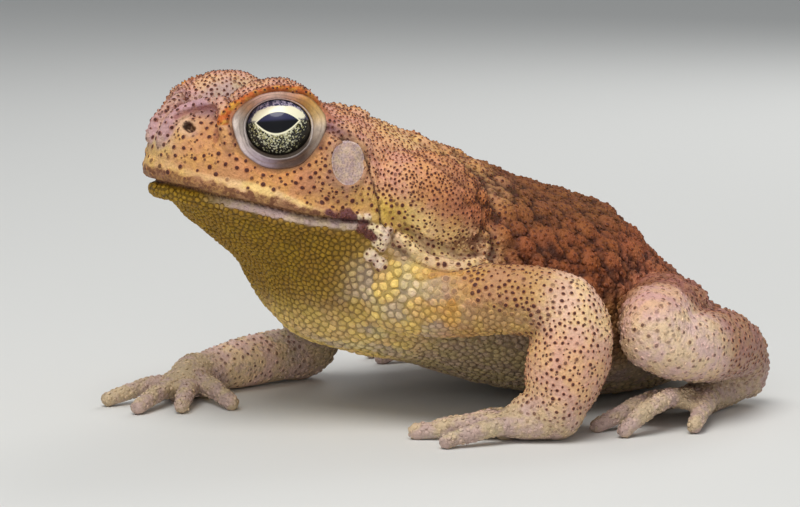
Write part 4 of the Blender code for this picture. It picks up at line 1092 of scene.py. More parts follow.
def skin_colours(points, normals, warty, dome):
    """At every point of the skin its colour, the granule values, how free it is for granules, and
    the shares of brown blotches and of small dark dots."""
    near, facing = folded(points), folded_normals(points, normals)
    gaps = crease_gaps(near, facing)
    colours, grain = region_values(points)
    over = height_over(near, MOUTH)
    head = smooth(-26.0, -31.0, near[:, 1])
    patches = cloud(points, 4.5, 12)
    colours, grain, blotch, band = mouth_paint(points, near, head, over, colours, grain)
    for line, colour, wide, narrow, strength in LINES:
        gap = line_distance(near, np.array(line)[:, :3])
        colours = paint(colours, strength * smooth(wide, narrow, gap), colour)
    # chest: paler grey patches on yellow
    chest = smooth(-34.0, -28.0, near[:, 1]) * smooth(-12.0, -20.0, near[:, 1])
    chest = chest * smooth(34.0, 30.0, near[:, 2])
    colours = paint(colours, 0.6 * chest * smooth(0.50, 0.66, patches), CHEST_PATCH)
    colours, grain, blotch = corner_paint(near, colours, grain, blotch)
    centre, axes = eye_frame()
    across, up, out = ((near - centre) @ axes.T).T
    share = ring_share(across, up)
    colours = lid_paint(points, gaps["ridge"], share, up, out, colours)
    # the purple skin above the eardrum, and painted shade in the hollow behind the eye
    for line, reach, colour in PURPLE_AND_SHADE:
        colours = paint(colours, 0.85 * bell(line_distance(near, line, facing), reach), colour)
    ear_across, ear_up, ear_out = ear_place(near)[:3]
    ear = np.sqrt(ear_across ** 2 + ear_up ** 2)
    close = np.abs(ear_out) < 4.0
    colours = paint(colours, 0.6 * close * smooth(1.45, 1.2, ear), EAR_RIM)
    # painted shade in the creases, the line of the mouth among them
    colours = crease_paint(near, gaps, head * bell(over, 0.30), colours)
    # a brown blotch on the lower edge of the gland
    low = np.exp(-((near - (29.6, -10.5, 35.0)) ** 2 / (9.0, 30.0, 6.0)).sum(axis=1))
    blotch = np.maximum(blotch, np.clip(0.9 * low, 0.0, 0.7))
    colours = wart_paint(near, warty, dome, patches, colours)
    dots = np.clip(1.2 * grain[:, 3], 0.0, 1.0) * (1.0 - 0.6 * band) * smooth(1.0, 1.3, share)
    # granules leave free the eye, the ear, the nostril, the mouth line and the hollow's edge
    free = smooth(1.02, 1.1, share) + (out < 0)
    free = np.minimum(free, smooth(1.12, 1.25, ear) + ~close)
    free = np.minimum(free, smooth(1.2, 1.6, gaps["nostril"]))
    free = np.minimum(free, 1 - head * bell(over, 0.4))
    free = np.minimum(free, smooth(0.30, 0.5, gaps["hollow"]))
    marks = np.stack([blotch, dots], axis=1)
    return np.clip(colours, 0.0, 1.0), grain, np.clip(free, 0.0, 1.0), marks


def set_attribute(mesh, name, colours):
    """Store a colour at every vertex of the mesh."""
    layer = mesh.attributes.new(name, "FLOAT_COLOR", "POINT")
    values = np.ones((len(colours), 4))
    values[:, :colours.shape[1]] = colours
    layer.data.foreach_set("color", values.ravel())


def thin_out(skin, triangles):
    """Bring the skin down to this many triangles, keeping more of them on the head and near arm."""
    points = read_points(skin.data)
    group = skin.vertex_groups.new(name="coarse")
    weight = 0.25 + 0.75 * smooth(-30.0, -12.0, points[:, 1])
    weight = np.round(np.where(points[:, 2] < 8.0, 1.0, weight) * 8.0) / 8.0
    for level in np.unique(weight):
        group.add(np.flatnonzero(weight == level).tolist(), float(level), "REPLACE")
    skin.data.calc_loop_triangles()
    thin = skin.modifiers.new("thin", "DECIMATE")
    thin.ratio = min(1.0, triangles / len(skin.data.loop_triangles))
    thin.use_collapse_triangulate = True
    thin.vertex_group = "coarse"
    thin.vertex_group_factor = 1.0
    apply_modifiers(skin)
    skin.vertex_groups.clear()


def bare_skin(sizes):
    """All the forms of flesh, fused and evened out."""
    forms = [trunk(), tube(NEAR_ARM), tube(FAR_ARM)]
    for side in (1.0, -1.0):
        forms += head_forms(side) + hind_forms(side)
    forms += hand_forms(NEAR_ARM[-1], math.radians(NEAR_HEADING))
    forms += hand_forms(FAR_ARM[-1], math.radians(FAR_HEADING))
    skin = fuse(forms, sizes.cell)
    relax(skin.data, sizes.relax_rounds)
    return skin


def make_skin(sizes):
    """The whole skin: fused, given its warts and folds, thinned out and coloured."""
    skin = bare_skin(sizes)
    points, normals = read_points(skin.data), read_normals(skin.data)
    rows = smooth_rows(TRUNK, TRUNK_STEPS)
    warty, legs = back_share(points, rows), leg_share(points)
    large = large_warts()
    warts = strewn_warts(points, warty > 0.4, large, SMALL_WARTS, 5)
    warts = strewn_warts(points, (legs > 0.4) & (warty < 0.4), warts, LEG_WARTS, 6)
    warts[:, 3] *= WART_GROWTH
    domes = dome_heights(points, warts, WART_ROUNDNESS)
    area = np.maximum(warty, 0.8 * legs)
    placed = large[:2 * len(PLACED_WARTS)] * (1.0, 1.0, 1.0, WART_GROWTH)
    placed = dome_heights(points, placed, WART_ROUNDNESS)
    mouth = np.vstack([DARK_WARTS, PALE_WARTS])
    mouth = np.vstack([mouth, on_side(mouth, -1.0)]) * (1, 1, 1, MOUTH_WART_GROWTH)
    small = dome_heights(points, mouth, MOUTH_WART_ROUNDNESS)
    push = sizes.wart_height * np.maximum(domes * area, placed) + MOUTH_WART_HEIGHT * small
    push += press_head(points, normals)
    points = clear_ear(clear_eye(points + normals * push[:, None]))
    points[:, 2] = np.maximum(points[:, 2], 0.0)
    write_points(skin.data, points)
    thin_out(skin, sizes.skin_triangles)
    skin.data.shade_smooth()
    points, normals = read_points(skin.data), read_normals(skin.data)
    domes = dome_heights(points, warts, WART_ROUNDNESS) / WART_GROWTH
    warty = np.maximum(back_share(points, rows), 0.35 * leg_share(points))
    colours, grain, free, marks = skin_colours(points, normals, warty, domes)
    # painted shade on the skin in the gaps between granules, as much as each region gives
    between = 1.0 - 0.62 * grain[:, 4:] * smooth(0.5, 1.0, free)[:, None]
    set_attribute(skin.data, "tint", colours * between)
    set_attribute(skin.data, "mark", marks)
    return skin, points, normals, colours, grain, free


def point_tree(points):
    """The points, set up to be searched by place."""
    tree = KDTree(len(points))
    for i, point in enumerate(points):
        tree.insert(point, i)
    tree.balance()
    return tree


def scatter(points, normals, faces, spacing, allowed, seed):
    """Random places on the triangles, none nearer to another than the spacing there."""
    draw = np.random.default_rng(seed)
    a, b, c = (points[faces[:, i]] for i in range(3))
    area = 0.5 * np.linalg.norm(np.cross(b - a, c - a), axis=1)
    room = spacing[faces].mean(axis=1)
    weight = area * allowed[faces].min(axis=1) / room ** 2
    tries = int(SCATTER_TRIES * weight.sum())
    chosen = draw.choice(len(faces), tries, p=weight / weight.sum())
    shares = draw.dirichlet((1.0, 1.0, 1.0), tries)
    spots = np.einsum("ij,ijk->ik", shares, points[faces[chosen]])
    ways = np.einsum("ij,ijk->ik", shares, normals[faces[chosen]])
    tree = point_tree(spots)
    alive = np.ones(tries, bool)
    kept = []
    for i, reach in enumerate(room[chosen]):
        if alive[i]:
            kept.append(i)
            for found, index, gap in tree.find_range(spots[i], reach):
                alive[index] = False
    ways = ways[kept] / np.linalg.norm(ways[kept], axis=1)[:, None]
    return spots[kept], ways, faces[chosen[kept]], shares[kept]


def unwrap(points):
    """A place on a flat unwrap for each point: trunk and limbs each along and round their line."""
    trunk_rows = smooth_rows(TRUNK, TRUNK_STEPS)
    middle = np.interp(points[:, 1], trunk_rows[:, 0], trunk_rows[:, 4])
    turn = np.arctan2(points[:, 2] - middle, points[:, 0])
    place = np.stack([(points[:, 1] + 65) / 135, 0.02 + 0.5 * (turn / (2 * math.pi) + 0.5)], axis=1)
    best = np.ones(len(points))
    limbs = [NEAR_ARM, FAR_ARM]
    for side in (1.0, -1.0):
        limbs += [on_side(rows, side) for rows in (LEG[2:], SHANK, TARSUS)]
    for slot, limb in enumerate(limbs):
        line = smooth_rows(limb, 3)
        gap = np.linalg.norm(points[:, None] - line[None, :, :3], axis=2) / line[:, 3]
        nearest = gap.argmin(axis=1)
        away = points - line[nearest, :3]
        along = nearest / len(line) * 0.1
        round_it = (np.arctan2(away[:, 2], away[:, 0] + away[:, 1]) / (2 * math.pi) + 0.5) * 0.3
        here = np.stack([0.02 + 0.12 * slot + along, 0.6 + round_it], axis=1)
        closer = gap.min(axis=1) < np.minimum(best, 1.25)
        place[closer] = here[closer]
        best = np.minimum(best, gap.min(axis=1))
    return place


def cell_reach(spots, level, rising, turn):
    """How far each granule may reach at each of its turns: half way to each near neighbour, over
    the cosine of the turn from it, whichever is least."""
    tree = point_tree(spots)
    near = np.array([[index for found, index, gap in tree.find_n(spot, NEIGHBOURS + 1)[1:]]
                     for spot in spots])
    gap = spots[near] - spots[:, None]
    across, up = (gap * level[:, None]).sum(axis=2), (gap * rising[:, None]).sum(axis=2)
    cosine = np.cos(turn[:, :, None] - np.arctan2(up, across)[:, None])
    return (0.5 * np.hypot(across, up)[:, None] / np.maximum(cosine, 0.2)).min(axis=2)


def granule_mesh(name, places, grain, colours, seed):
    """One mesh of all these granules: low domes, each with its rings on outlines round its place
    that keep clear of its neighbours, lifted by a power of 1 - share squared and closed below."""
    draw = np.random.default_rng(seed)
    spots, ways, level, rising, turn, reach = places
    count = len(spots)
    spacing, share, height, tip = grain.T[:4]
    size = spacing * share * (1.0 + (0.10 + 0.34 * tip) * draw.uniform(-1.0, 1.0, count))
    tall = height * draw.uniform(0.8, 1.2, count)
    tip = tip * np.clip(draw.uniform(0.35, 1.6, count), 0.0, 1.0)
    stretch = draw.uniform(0.86, 1.16, count)
    along, round_it = np.cos(turn) / stretch[:, None], np.sin(turn) * stretch[:, None]
    oval = size[:, None] / np.sqrt(along ** 2 + round_it ** 2)
    outline = np.minimum(oval, 0.95 * reach)
    circle = (np.cos(turn) * outline)[..., None] * level[:, None]
    circle = circle + (np.sin(turn) * outline)[..., None] * rising[:, None]
    power = 0.55 + 0.60 * tip
    rows, marks = [], []
    for ring in GRANULE_RINGS:
        lift = tall * (1.0 - ring ** 2) ** power - GRANULE_SINK * size * (ring == 1.0)
        rows.append(spots[:, None] + circle * ring + ways[:, None] * lift[:, None, None])
        marks.append(np.full((count, GRANULE_SIDES), 1.0 - ring))
    top = (spots + ways * tall[:, None])[:, None]
    foot = (spots - ways * (0.5 * size)[:, None])[:, None]
    points = np.concatenate(rows + [top, foot], axis=1)
    points[..., 2] = np.maximum(points[..., 2], 0.0)
    mark = np.concatenate(marks + [np.ones((count, 1)), np.zeros((count, 1))], axis=1)
    body = points.shape[1]
    faces = np.vstack([grid_faces(len(GRANULE_RINGS), GRANULE_SIDES, False), ring_caps()])
    every = (np.arange(count)[:, None, None] * body + faces).reshape(-1, 3)
    thing = mesh_object(name, points.reshape(-1, 3), every)
    light = draw.uniform(0.86, 1.14, (count, 1))
    tint = np.repeat(np.clip(colours * light, 0, 1), body, axis=0)
    set_attribute(thing.data, "tint", tint)
    tip, light = np.repeat(tip[:, None], body, axis=1), np.repeat(light, body, axis=1)
    set_attribute(thing.data, "mark", np.stack([mark, tip, light], axis=2).reshape(-1, 3))
    place = unwrap(spots)
    local = np.concatenate([np.stack([np.cos(turn), np.sin(turn)], axis=2) * ring * PATCH
                            for ring in GRANULE_RINGS] + [np.zeros((count, 2, 2))], axis=1)
    flat = (place[:, None] + local).reshape(-1, 2)
    layer = thing.data.uv_layers.new(name="OFBake")
    corners = np.empty(len(thing.data.loops), dtype=np.int64)
    thing.data.loops.foreach_get("vertex_index", corners)
    layer.uv.foreach_set("vector", flat[corners].ravel())
    return thing


def ring_caps():
    """Triangles that close a granule's smallest ring to its top and its widest one to its foot."""
    sides, rings = GRANULE_SIDES, len(GRANULE_RINGS)
    j = np.arange(sides)
    k = (j + 1) % sides
    end = (rings - 1) * sides
    top = np.stack([end + j, end + k, np.full(sides, rings * sides)], axis=1)
    foot = np.stack([k, j, np.full(sides, rings * sides + 1)], axis=1)
    return np.vstack([top, foot])


def make_granules(skin_parts, sizes):
    """Granules over the whole skin, in pieces that run from the snout to the vent."""
    skin, points, normals, colours, grain, free = skin_parts
    faces = np.empty(len(skin.data.polygons) * 3, dtype=np.int64)
    skin.data.polygons.foreach_get("vertices", faces)
    faces = faces.reshape(-1, 3)
    allowed = free * (points[:, 2] > LOWEST_GRANULE)
    uneven = 1.0 + 0.55 * grain[:, 3] * (cloud(points, 3.6, 15) - 0.45)
    spacing = grain[:, 0] * sizes.granule_spacing * uneven
    spots, ways, corners, shares = scatter(points, normals, faces, spacing, allowed, 8)
    own_grain = np.einsum("ij,ijk->ik", shares, grain[corners])
    own_colour = np.einsum("ij,ijk->ik", shares, colours[corners])
    draw = np.random.default_rng(9)
    level = np.cross(ways, (0.31, 0.2, 0.93))
    level = level / np.linalg.norm(level, axis=1)[:, None]
    rising = np.cross(ways, level)
    turn = np.linspace(0, 2 * math.pi, GRANULE_SIDES, endpoint=False)
    turn = turn + draw.uniform(0, 6.3, (len(spots), 1))
    places = (spots, ways, level, rising, turn, cell_reach(spots, level, rising, turn))
    order = np.argsort(spots[:, 1])
    made = []
    for i, part in enumerate(np.array_split(order, math.ceil(len(order) / GRANULES_EACH))):
        own_places = [row[part] for row in places]
        made.append(granule_mesh(f"granules_{i + 1}", own_places, own_grain[part],
                                 own_colour[part], GRANULE_SEED + i))
    return made


def make_eyeball(name, side):
    """A ball whose rings run round the line of sight."""
    centre, axes = eye_frame()
    slope = np.linspace(0.0, math.pi, EYE_STEPS[0])[1:-1, None]
    turn = np.linspace(0, 2 * math.pi, EYE_STEPS[1], endpoint=False)[None]
    rings = np.stack([np.sin(slope) * np.cos(turn), np.sin(slope) * np.sin(turn),
                      np.cos(slope) + 0 * turn], axis=-1) * (EYE_RADIUS - 0.02)
    points, faces = closed_loft(rings)
    points = (centre + points @ axes) * (side, 1.0, 1.0)
    return mesh_object(name, points, outward(points, faces))


def skin_depths(skin, starts, way, flip, ray):
    """How high the skin stands under a ring of places: rays go down to it from a height, what they
    miss is filled in from beside, and all is evened out round the ring."""
    height, reach, rounds = ray
    tree = BVHTree.FromObject(skin, bpy.context.evaluated_depsgraph_get())
    depth = []
    for start in starts:
        hit = tree.ray_cast(Vector(start * flip * MM), Vector(-way * flip), reach)
        depth.append(np.nan if hit[3] is None else height - hit[3] / MM)
    depth = np.array(depth)
    known = ~np.isnan(depth)
    turn = np.linspace(0, 2 * math.pi, len(depth), endpoint=False)
    depth = np.interp(turn, turn[known], depth[known], period=2 * math.pi)
    for step in range(rounds):
        depth = (np.roll(depth, 1) + 2 * depth + np.roll(depth, -1)) / 4
    return depth


def make_ring(name, side, skin):
    """The ring of lids round an eye: a closed profile carried round from the iris's edge, where
    it lies on the eyeball, to an outer line that lies on the skin."""
    centre, axes = eye_frame()
    turn = np.linspace(0, 2 * math.pi, RING_SIDES, endpoint=False)
    across, up = np.cos(turn), np.sin(turn)
    inner = np.stack([IRIS_SIZE[0] * across, IRIS_SIZE[1] * up], axis=1) * 0.985 + IRIS_PLACE
    around = np.arctan2(inner[:, 1], inner[:, 0])
    outer = ring_reach(around)[:, None] * np.stack([np.cos(around), np.sin(around)], axis=1)
    flip = np.array((side, 1.0, 1.0))
    starts = [centre + one * axes[0] + two * axes[1] + RING_RAY[0] * axes[2]
              for one, two in outer * 1.04]
    depth = skin_depths(skin, starts, axes[2], flip, RING_RAY)
    on_ball = np.sqrt(EYE_RADIUS ** 2 - (inner ** 2).sum(axis=1))
    width = outer - inner
    thin = np.sqrt(np.clip(width[:, 1] ** 2 + width[:, 0] ** 2, 1.5, 6.0) / 6.0)
    rings, shares = [], []
    for share, lift in smooth_rows(RING_PROFILE, 2):
        flat = inner + share * width
        ease = np.clip(share, 0, 1) ** 0.85
        rise = on_ball + ease * (depth - on_ball) + lift * (1.0 if share < 0.12 else thin)
        rings.append(centre + flat[:, :1] * axes[0] + flat[:, 1:] * axes[1] + rise[:, None] * axes[2])
        shares.append(np.full(len(turn), share))
    points = np.vstack(rings)
    colours = ring_colours(points, np.concatenate(shares), np.tile(around, len(rings)))
    points = points * flip
    faces = outward(points, grid_faces(len(rings), len(turn), True))
    thing = mesh_object(name, points, faces)
    set_attribute(thing.data, "tint", colours)
    return thing


def ring_colours(points, share, around):
    """Lids pale lavender in front, grey brown below, gold above and behind, each zone's colour weighed
    by a bell of its turn, with painted light on top and in front and painted shade from below round to
    behind;
    under thin lines at steady shares of the way out: painted shade in the creases of the folds, at the
    outer edge and along a line near the iris, a dark band next to the iris below, a pale line, and
    painted shade where the lids meet the iris."""
    total = np.zeros((len(share), 4))
    for degrees, spread, colour in RING_ZONES_AND_SHADE:
        gap = np.angle(np.exp(1j * (around - math.radians(degrees)))) / spread
        total += np.exp(-gap ** 2)[:, None] * (*colour, 1.0)
    colours = total[:, :3] / total[:, 3:]
    mottle = cloud(points, 1.3, 16)[:, None]
    colours = colours * (0.74 + 0.52 * mottle)
    low = smooth(0.0, -0.6, np.sin(around))
    band = 0.06 + 0.20 * low
    fold = 0.60 + 0.10 * np.cos(3.0 * around)
    # painted shade in the creases of the folds, at the outer edge and along a line near the iris
    colours = paint(colours, 0.45 * bell(share, 0.045, fold), RING_FOLD_SHADE)
    colours = paint(colours, 0.65 * smooth(0.86, 1.0, share), RING_EDGE_SHADE)
    colours = paint(colours, 0.7 * np.exp(-((share - band - 0.13) / 0.03) ** 2), RING_CREASE_SHADE)
    colours = paint(colours, smooth(band + 0.02, band - 0.04, share) * low, RING_LOW)
    pale = np.exp(-((share - band - 0.045) / 0.035) ** 2)
    colours = paint(colours, pale * (0.9 - 0.35 * low), RING_PALE)
    # painted shade where the lids tuck against the eyeball at the iris
    return paint(colours, smooth(0.035, 0.0, share), RING_INNER_SHADE)


def make_eardrum(name, side, skin):
    """A thin oval drum: rings from its rim to its middle, faintly hollow, closed behind."""
    centre, flip = np.array(EAR_CENTRE), np.array((side, 1.0, 1.0))
    axes = ear_place(centre[None])[3]
    turn = np.linspace(0, 2 * math.pi, DRUM_SIDES, endpoint=False)
    starts = []
    for angle in turn:
        level, rising = EAR_SIZE[0] * math.cos(angle), EAR_SIZE[1] * math.sin(angle)
        starts.append(centre + 1.12 * (level * axes[0] + rising * axes[1]) + DRUM_RAY[0] * axes[2])
    depth = skin_depths(skin, starts, axes[2], flip, DRUM_RAY)
    middle = depth.mean()
    rings = []
    for share, lift in DRUM_PROFILE:
        flat = share * (EAR_SIZE[0] * np.cos(turn)[:, None] * axes[0]
                        + EAR_SIZE[1] * np.sin(turn)[:, None] * axes[1])
        rise = lift + middle + min(share, 1.0) ** 2 * (depth - middle)
        rings.append(centre + flat + rise[:, None] * axes[2])
    points, faces = closed_loft(rings)
    share = np.sqrt((np.stack(ear_place(points)[:2]) ** 2).sum(axis=0))
    colours = np.tile(DRUM_COLOUR, (len(points), 1))
    colours = paint(colours, 0.6 * smooth(0.35, 0.7, cloud(points, 1.3, 9)), DRUM_MOTTLE)
    # painted shade of a groove just inside the drum's rim
    groove_shade = smooth(0.80, 0.86, share) * smooth(0.93, 0.88, share)
    colours = paint(colours, 0.5 * groove_shade, DRUM_GROOVE_SHADE)
    colours = paint(colours, 0.8 * smooth(0.90, 0.96, share), DRUM_EDGE)
    points = points * flip
    thing = mesh_object(name, points, outward(points, faces))
    set_attribute(thing.data, "tint", colours)
    return thing


class Amount:
    """A number in a shader: sums on it add Math nodes."""

    def __init__(self, looks, socket):
        self.looks = looks
        self.socket = socket

    def sum(self, operation, *values):
        """A Math node on these values."""
        return Amount(self.looks, self.looks.node("ShaderNodeMath", {"operation": operation}, values))

    def __add__(self, other):
        return self.sum("ADD", self, other)

    def __radd__(self, other):
        return self.sum("ADD", other, self)

    def __sub__(self, other):
        return self.sum("SUBTRACT", self, other)

    def __rsub__(self, other):
        return self.sum("SUBTRACT", other, self)

    def __mul__(self, other):
        return self.sum("MULTIPLY", self, other)

    def __rmul__(self, other):
        return self.sum("MULTIPLY", other, self)

    def __truediv__(self, other):
        return self.sum("DIVIDE", self, other)

    def __rtruediv__(self, other):
        return self.sum("DIVIDE", other, self)

    def __pow__(self, other):
        return self.sum("POWER", self, other)

    def size(self):
        """The amount without its sign."""
        return self.sum("ABSOLUTE", self)

    def smooth(self, low, high):
        """0 at low, 1 at high and a soft rise between."""
        settings = {"interpolation_type": "SMOOTHSTEP"}
        values = {"Value": self, "From Min": low, "From Max": high}
        return Amount(self.looks, self.looks.node("ShaderNodeMapRange", settings, values))


class Looks:
    """A material's nodes, added one by one."""

    def __init__(self, name):
        self.material = bpy.data.materials.new(name)
        self.material.use_nodes = True
        self.tree = self.material.node_tree
        self.shader = self.tree.nodes["Principled BSDF"]

    def node(self, kind, settings, values, output=0):
        """Add a node with these settings and socket values or links, and give one output."""
        node = self.tree.nodes.new(kind)
        for key, value in settings.items():
            setattr(node, key, value)
        pairs = values.items() if hasattr(values, "items") else enumerate(values)
        for key, value in pairs:
            self.feed(node.inputs[key], value)
        return node.outputs[output]

    def feed(self, socket, value):
        """Link a socket or amount to an input, or set its own value: colours have three parts."""
        value = value.socket if isinstance(value, Amount) else value
        if isinstance(value, bpy.types.NodeSocket):
            self.tree.links.new(value, socket)
        else:
            socket.default_value = (*value, 1.0) if socket.type == "RGBA" else value

    def amount(self, kind, settings, values, output=0):
        """The same, taken as a number."""
        return Amount(self, self.node(kind, settings, values, output))

    def mix(self, share, one, two, blend="MIX"):
        """Two colours mixed by a share."""
        node = self.tree.nodes.new("ShaderNodeMix")
        node.data_type = "RGBA"
        node.blend_type = blend
        self.feed(node.inputs["Factor"], share)
        self.feed(node.inputs[6], one)
        self.feed(node.inputs[7], two)
        return node.outputs[2]

    def times(self, one, two):
        """Two colours multiplied."""
        return self.mix(1.0, one, two, "MULTIPLY")

    def shaded(self, colour, shade):
        """A colour times a number."""
        return self.times(colour, self.node("ShaderNodeCombineColor", {}, (shade, shade, shade)))

    def place(self):
        """The place on the object, in metres."""
        return self.node("ShaderNodeTexCoord", {}, {}, "Object")

    def noise(self, place, scale, detail=2.0, roughness=0.5):
        """Soft noise about 0.5."""
        values = {"Vector": place, "Scale": scale, "Detail": detail, "Roughness": roughness}
        return self.amount("ShaderNodeTexNoise", {}, values, "Fac")

    def cells(self, place, scale, feature="F1"):
        """Distance to the middle or the edge of the nearest cell."""
        values = {"Vector": place, "Scale": scale}
        return self.amount("ShaderNodeTexVoronoi", {"feature": feature}, values, "Distance")

    def attribute(self, name, output="Color"):
        """A colour stored on the mesh."""
        return self.node("ShaderNodeAttribute", {"attribute_name": name}, {}, output)

    def split(self, vector):
        """The three parts of a vector as numbers."""
        node = self.tree.nodes.new("ShaderNodeSeparateXYZ")
        self.feed(node.inputs[0], vector)
        return [Amount(self, socket) for socket in node.outputs]

    def bump(self, height, strength, distance):
        """A normal bent by a height."""
        values = {"Height": height, "Strength": strength, "Distance": distance}
        return self.node("ShaderNodeBump", {}, values)

    def finish(self, colour, roughness, normal=None, **constants):
        """Feed the shader and give the material."""
        self.feed(self.shader.inputs["Base Color"], colour)
        self.feed(self.shader.inputs["Roughness"], roughness)
        if normal is not None:
            self.feed(self.shader.inputs["Normal"], normal)
        for name, value in constants.items():
            self.feed(self.shader.inputs[name.replace("_", " ")], value)
        return self.material


def skin_material(name, colours, granular):
    """Dry skin: the painted tint under faint lavender and yellow patches, brown blotches and small
    dark dots, with a bump of small grains; on granules their dark horny tips with reddish halos, and
    painted shade in the creases at their feet, instead."""
    looks = Looks(name)
    place = looks.place()
    wide = looks.noise(place, *WIDE_NOISE)
    mottle = looks.noise(place, *MOTTLE_NOISE)
    lift = looks.noise(place, *FINE_NOISE)
    grains = looks.cells(place, GRAIN_CELLS)
    patch = looks.mix(wide.smooth(0.38, 0.62), PATCH_LAVENDER, PATCH_YELLOW)
    colour = looks.times(looks.attribute("tint"), patch)
    colour = looks.shaded(colour, 0.50 + 0.58 * mottle + 0.42 * lift)
    mark = looks.split(looks.attribute("mark", "Vector"))
    if granular:
        tip = (mark[0] + 0.40 * (mottle - 0.5)).smooth(0.26, 0.46) * mark[1].smooth(0.05, 0.6)
        # painted shade in the creases at the feet of granules without dark tips
        foot = 1.0 - mark[0].smooth(0.0, 0.24)
        crease = foot * (1.0 - mark[1].smooth(0.0, 0.5))
        colour = looks.mix(crease * 0.78, colour, CREASE_SHADE)
        halo = mark[0].smooth(0.0, 0.26) * mark[1].smooth(0.2, 0.7)
        colour = looks.mix(halo * 0.55, colour, HALO_COLOUR)
        colour = looks.mix(tip * 0.96, colour, colours.dark_tip)
    else:
        brown = (mottle + 0.5 * (lift - 0.5) + 0.9 * (mark[0] - 0.5)).smooth(0.44, 0.66)
        colour = looks.mix(brown * 0.88, colour, colours.brown)
        small = (looks.cells(place, DOT_CELLS) + 0.25 * (lift - 0.5)).smooth(0.30, 0.20)
        small = small * wide.smooth(0.40, 0.54)
        colour = looks.mix(small * mark[1] * 0.9, colour, colours.dark_tip)
    normal = looks.bump(lift * 0.6 + grains * 0.5 + mottle * 0.9, 1.0, 0.00035)
    return looks.finish(colour, 0.52 + 0.22 * lift, normal, Specular_IOR_Level=0.36)


def lid_material(name):
    """Smooth bare lids, faintly moist."""
    looks = Looks(name)
    grain = looks.noise(looks.place(), 1300.0, 4.0, 0.7)
    colour = looks.shaded(looks.attribute("tint"), 0.50 + 1.0 * grain)
    normal = looks.bump(grain, 0.6, 0.0003)
    return looks.finish(colour, 0.46, normal, Specular_IOR_Level=0.2)


def drum_material(name):
    """The eardrum: beige and lavender grains on a thin skin."""
    looks = Looks(name)
    place = looks.place()
    mottle = looks.noise(place, 900.0, 4.0, 0.7)
    grains = looks.cells(place, 2600.0)
    tint = looks.mix(mottle.smooth(0.42, 0.60), DRUM_BEIGE, DRUM_LAVENDER)
    colour = looks.times(looks.attribute("tint"), tint)
    colour = looks.shaded(colour, 0.78 + 0.6 * grains)
    normal = looks.bump(mottle + grains, 0.6, 0.00025)
    return looks.finish(colour, 0.5, normal, Specular_IOR_Level=0.35)


def eye_material(name, colours):
    """The iris and pupil, painted by their place before the eye under a clear wet coat: a pointed
    oval pupil in a cream line, black with pale flecks below it, cream above under a painted reflection
    of the sky in slate blue over the dark iris, and a painted reflection of the sky in the pupil's
    upper half."""
    looks = Looks(name)
    centre, axes = eye_frame()
    place = looks.place()
    x, y, z = looks.split(place)
    near = looks.node("ShaderNodeCombineXYZ", {}, (x.size(), y, z))
    gap = looks.node("ShaderNodeVectorMath", {"operation": "SUBTRACT"}, (near, tuple(centre * MM)))
    across, up = (
        looks.amount("ShaderNodeVectorMath", {"operation": "DOT_PRODUCT"}, (gap, tuple(way)), "Value")
        / MM for way in axes[:2])
    grain = looks.noise(place, 3000.0, 4.0, 0.8)
    coarse = looks.noise(place, 900.0, 3.0, 0.6)
    cell = {"Vector": place, "Scale": 3700.0}
    chance, tone = looks.split(looks.node("ShaderNodeTexVoronoi", {}, cell, "Color"))[:2]
    ragged = (coarse - 0.5) * 0.9 + (grain - 0.5) * 1.1
    level = up - PUPIL_UP - (across + PUPIL_FRONT) * PUPIL_LEAN
    tall = PUPIL_LOW - (PUPIL_LOW - PUPIL_HIGH) * level.smooth(-0.05, 0.05)
    pupil = ((across + PUPIL_FRONT) / PUPIL_LONG) ** 2.0 + level.size() / tall
    edge = ((across - IRIS_PLACE[0]) / IRIS_SIZE[0]) ** 2.0
    edge = (edge + ((up - IRIS_PLACE[1]) / IRIS_SIZE[1]) ** 2.0) ** 0.5
    # below the pupil pale flecks on black, thinner outward and at the sides
    dense = 0.30 + 0.34 * pupil.smooth(2.6, 1.0) + 0.06 * across.smooth(-5.0, -2.0)
    dense = dense - 0.20 * across.smooth(2.5, 5.5)
    flecks = (0.62 * chance + 0.9 * (grain - 0.5) + 0.19).smooth(1.0 - dense, 1.06 - dense)
    gold = looks.mix(tone.smooth(0.2, 0.8), colours.iris_gold, colours.iris_pale)
    colour = looks.mix(flecks * edge.smooth(0.97, 0.86), IRIS_BLACK, gold)
    # above it a broad cream band under a painted reflection of the sky over the dark iris, mottled
    # slate blue and lavender and dimmer at the sides
    mottle = (grain * 0.6 + chance * 0.4).smooth(0.44, 0.62)
    slate = looks.mix(mottle, IRIS_SKY_REFLECTION, IRIS_PALE_REFLECTION)
    slate = looks.mix(across.size().smooth(3.2, 5.0) * 0.75, slate, IRIS_SIDE_REFLECTION)
    colour = looks.mix(level.smooth(-0.2, 0.5), colour, slate)
    band = ((across + 0.1).size() / 4.9) ** 2.2 + (level.size() / 2.95) ** 2.6 + 0.42 * ragged
    cream = band.smooth(1.06, 0.90) * (level + 0.5 * ragged).smooth(0.15, 0.55)
    colour = looks.mix(cream, colour, colours.iris_cream)
    colour = looks.mix((pupil + 0.05 * ragged).smooth(1.22, 1.12), colour, colours.iris_cream)
    # the pupil black, with a painted reflection of the sky in dark blue over its upper half
    pupil_reflection = looks.mix(level.smooth(-0.1, 0.6), PUPIL_BLACK, PUPIL_SKY_REFLECTION)
    colour = looks.mix(pupil.smooth(1.03, 0.98), colour, pupil_reflection)
    colour = looks.mix(edge.smooth(0.945, 0.975), colour, IRIS_EDGE)
    return looks.finish(colour, 0.3, None, Coat_Weight=1.0, Coat_Roughness=0.02, Coat_IOR=1.36,
                        Specular_IOR_Level=0.25)


def plain_material(name, colour, roughness):
    """One even colour."""
    return Looks(name).finish(colour, roughness)


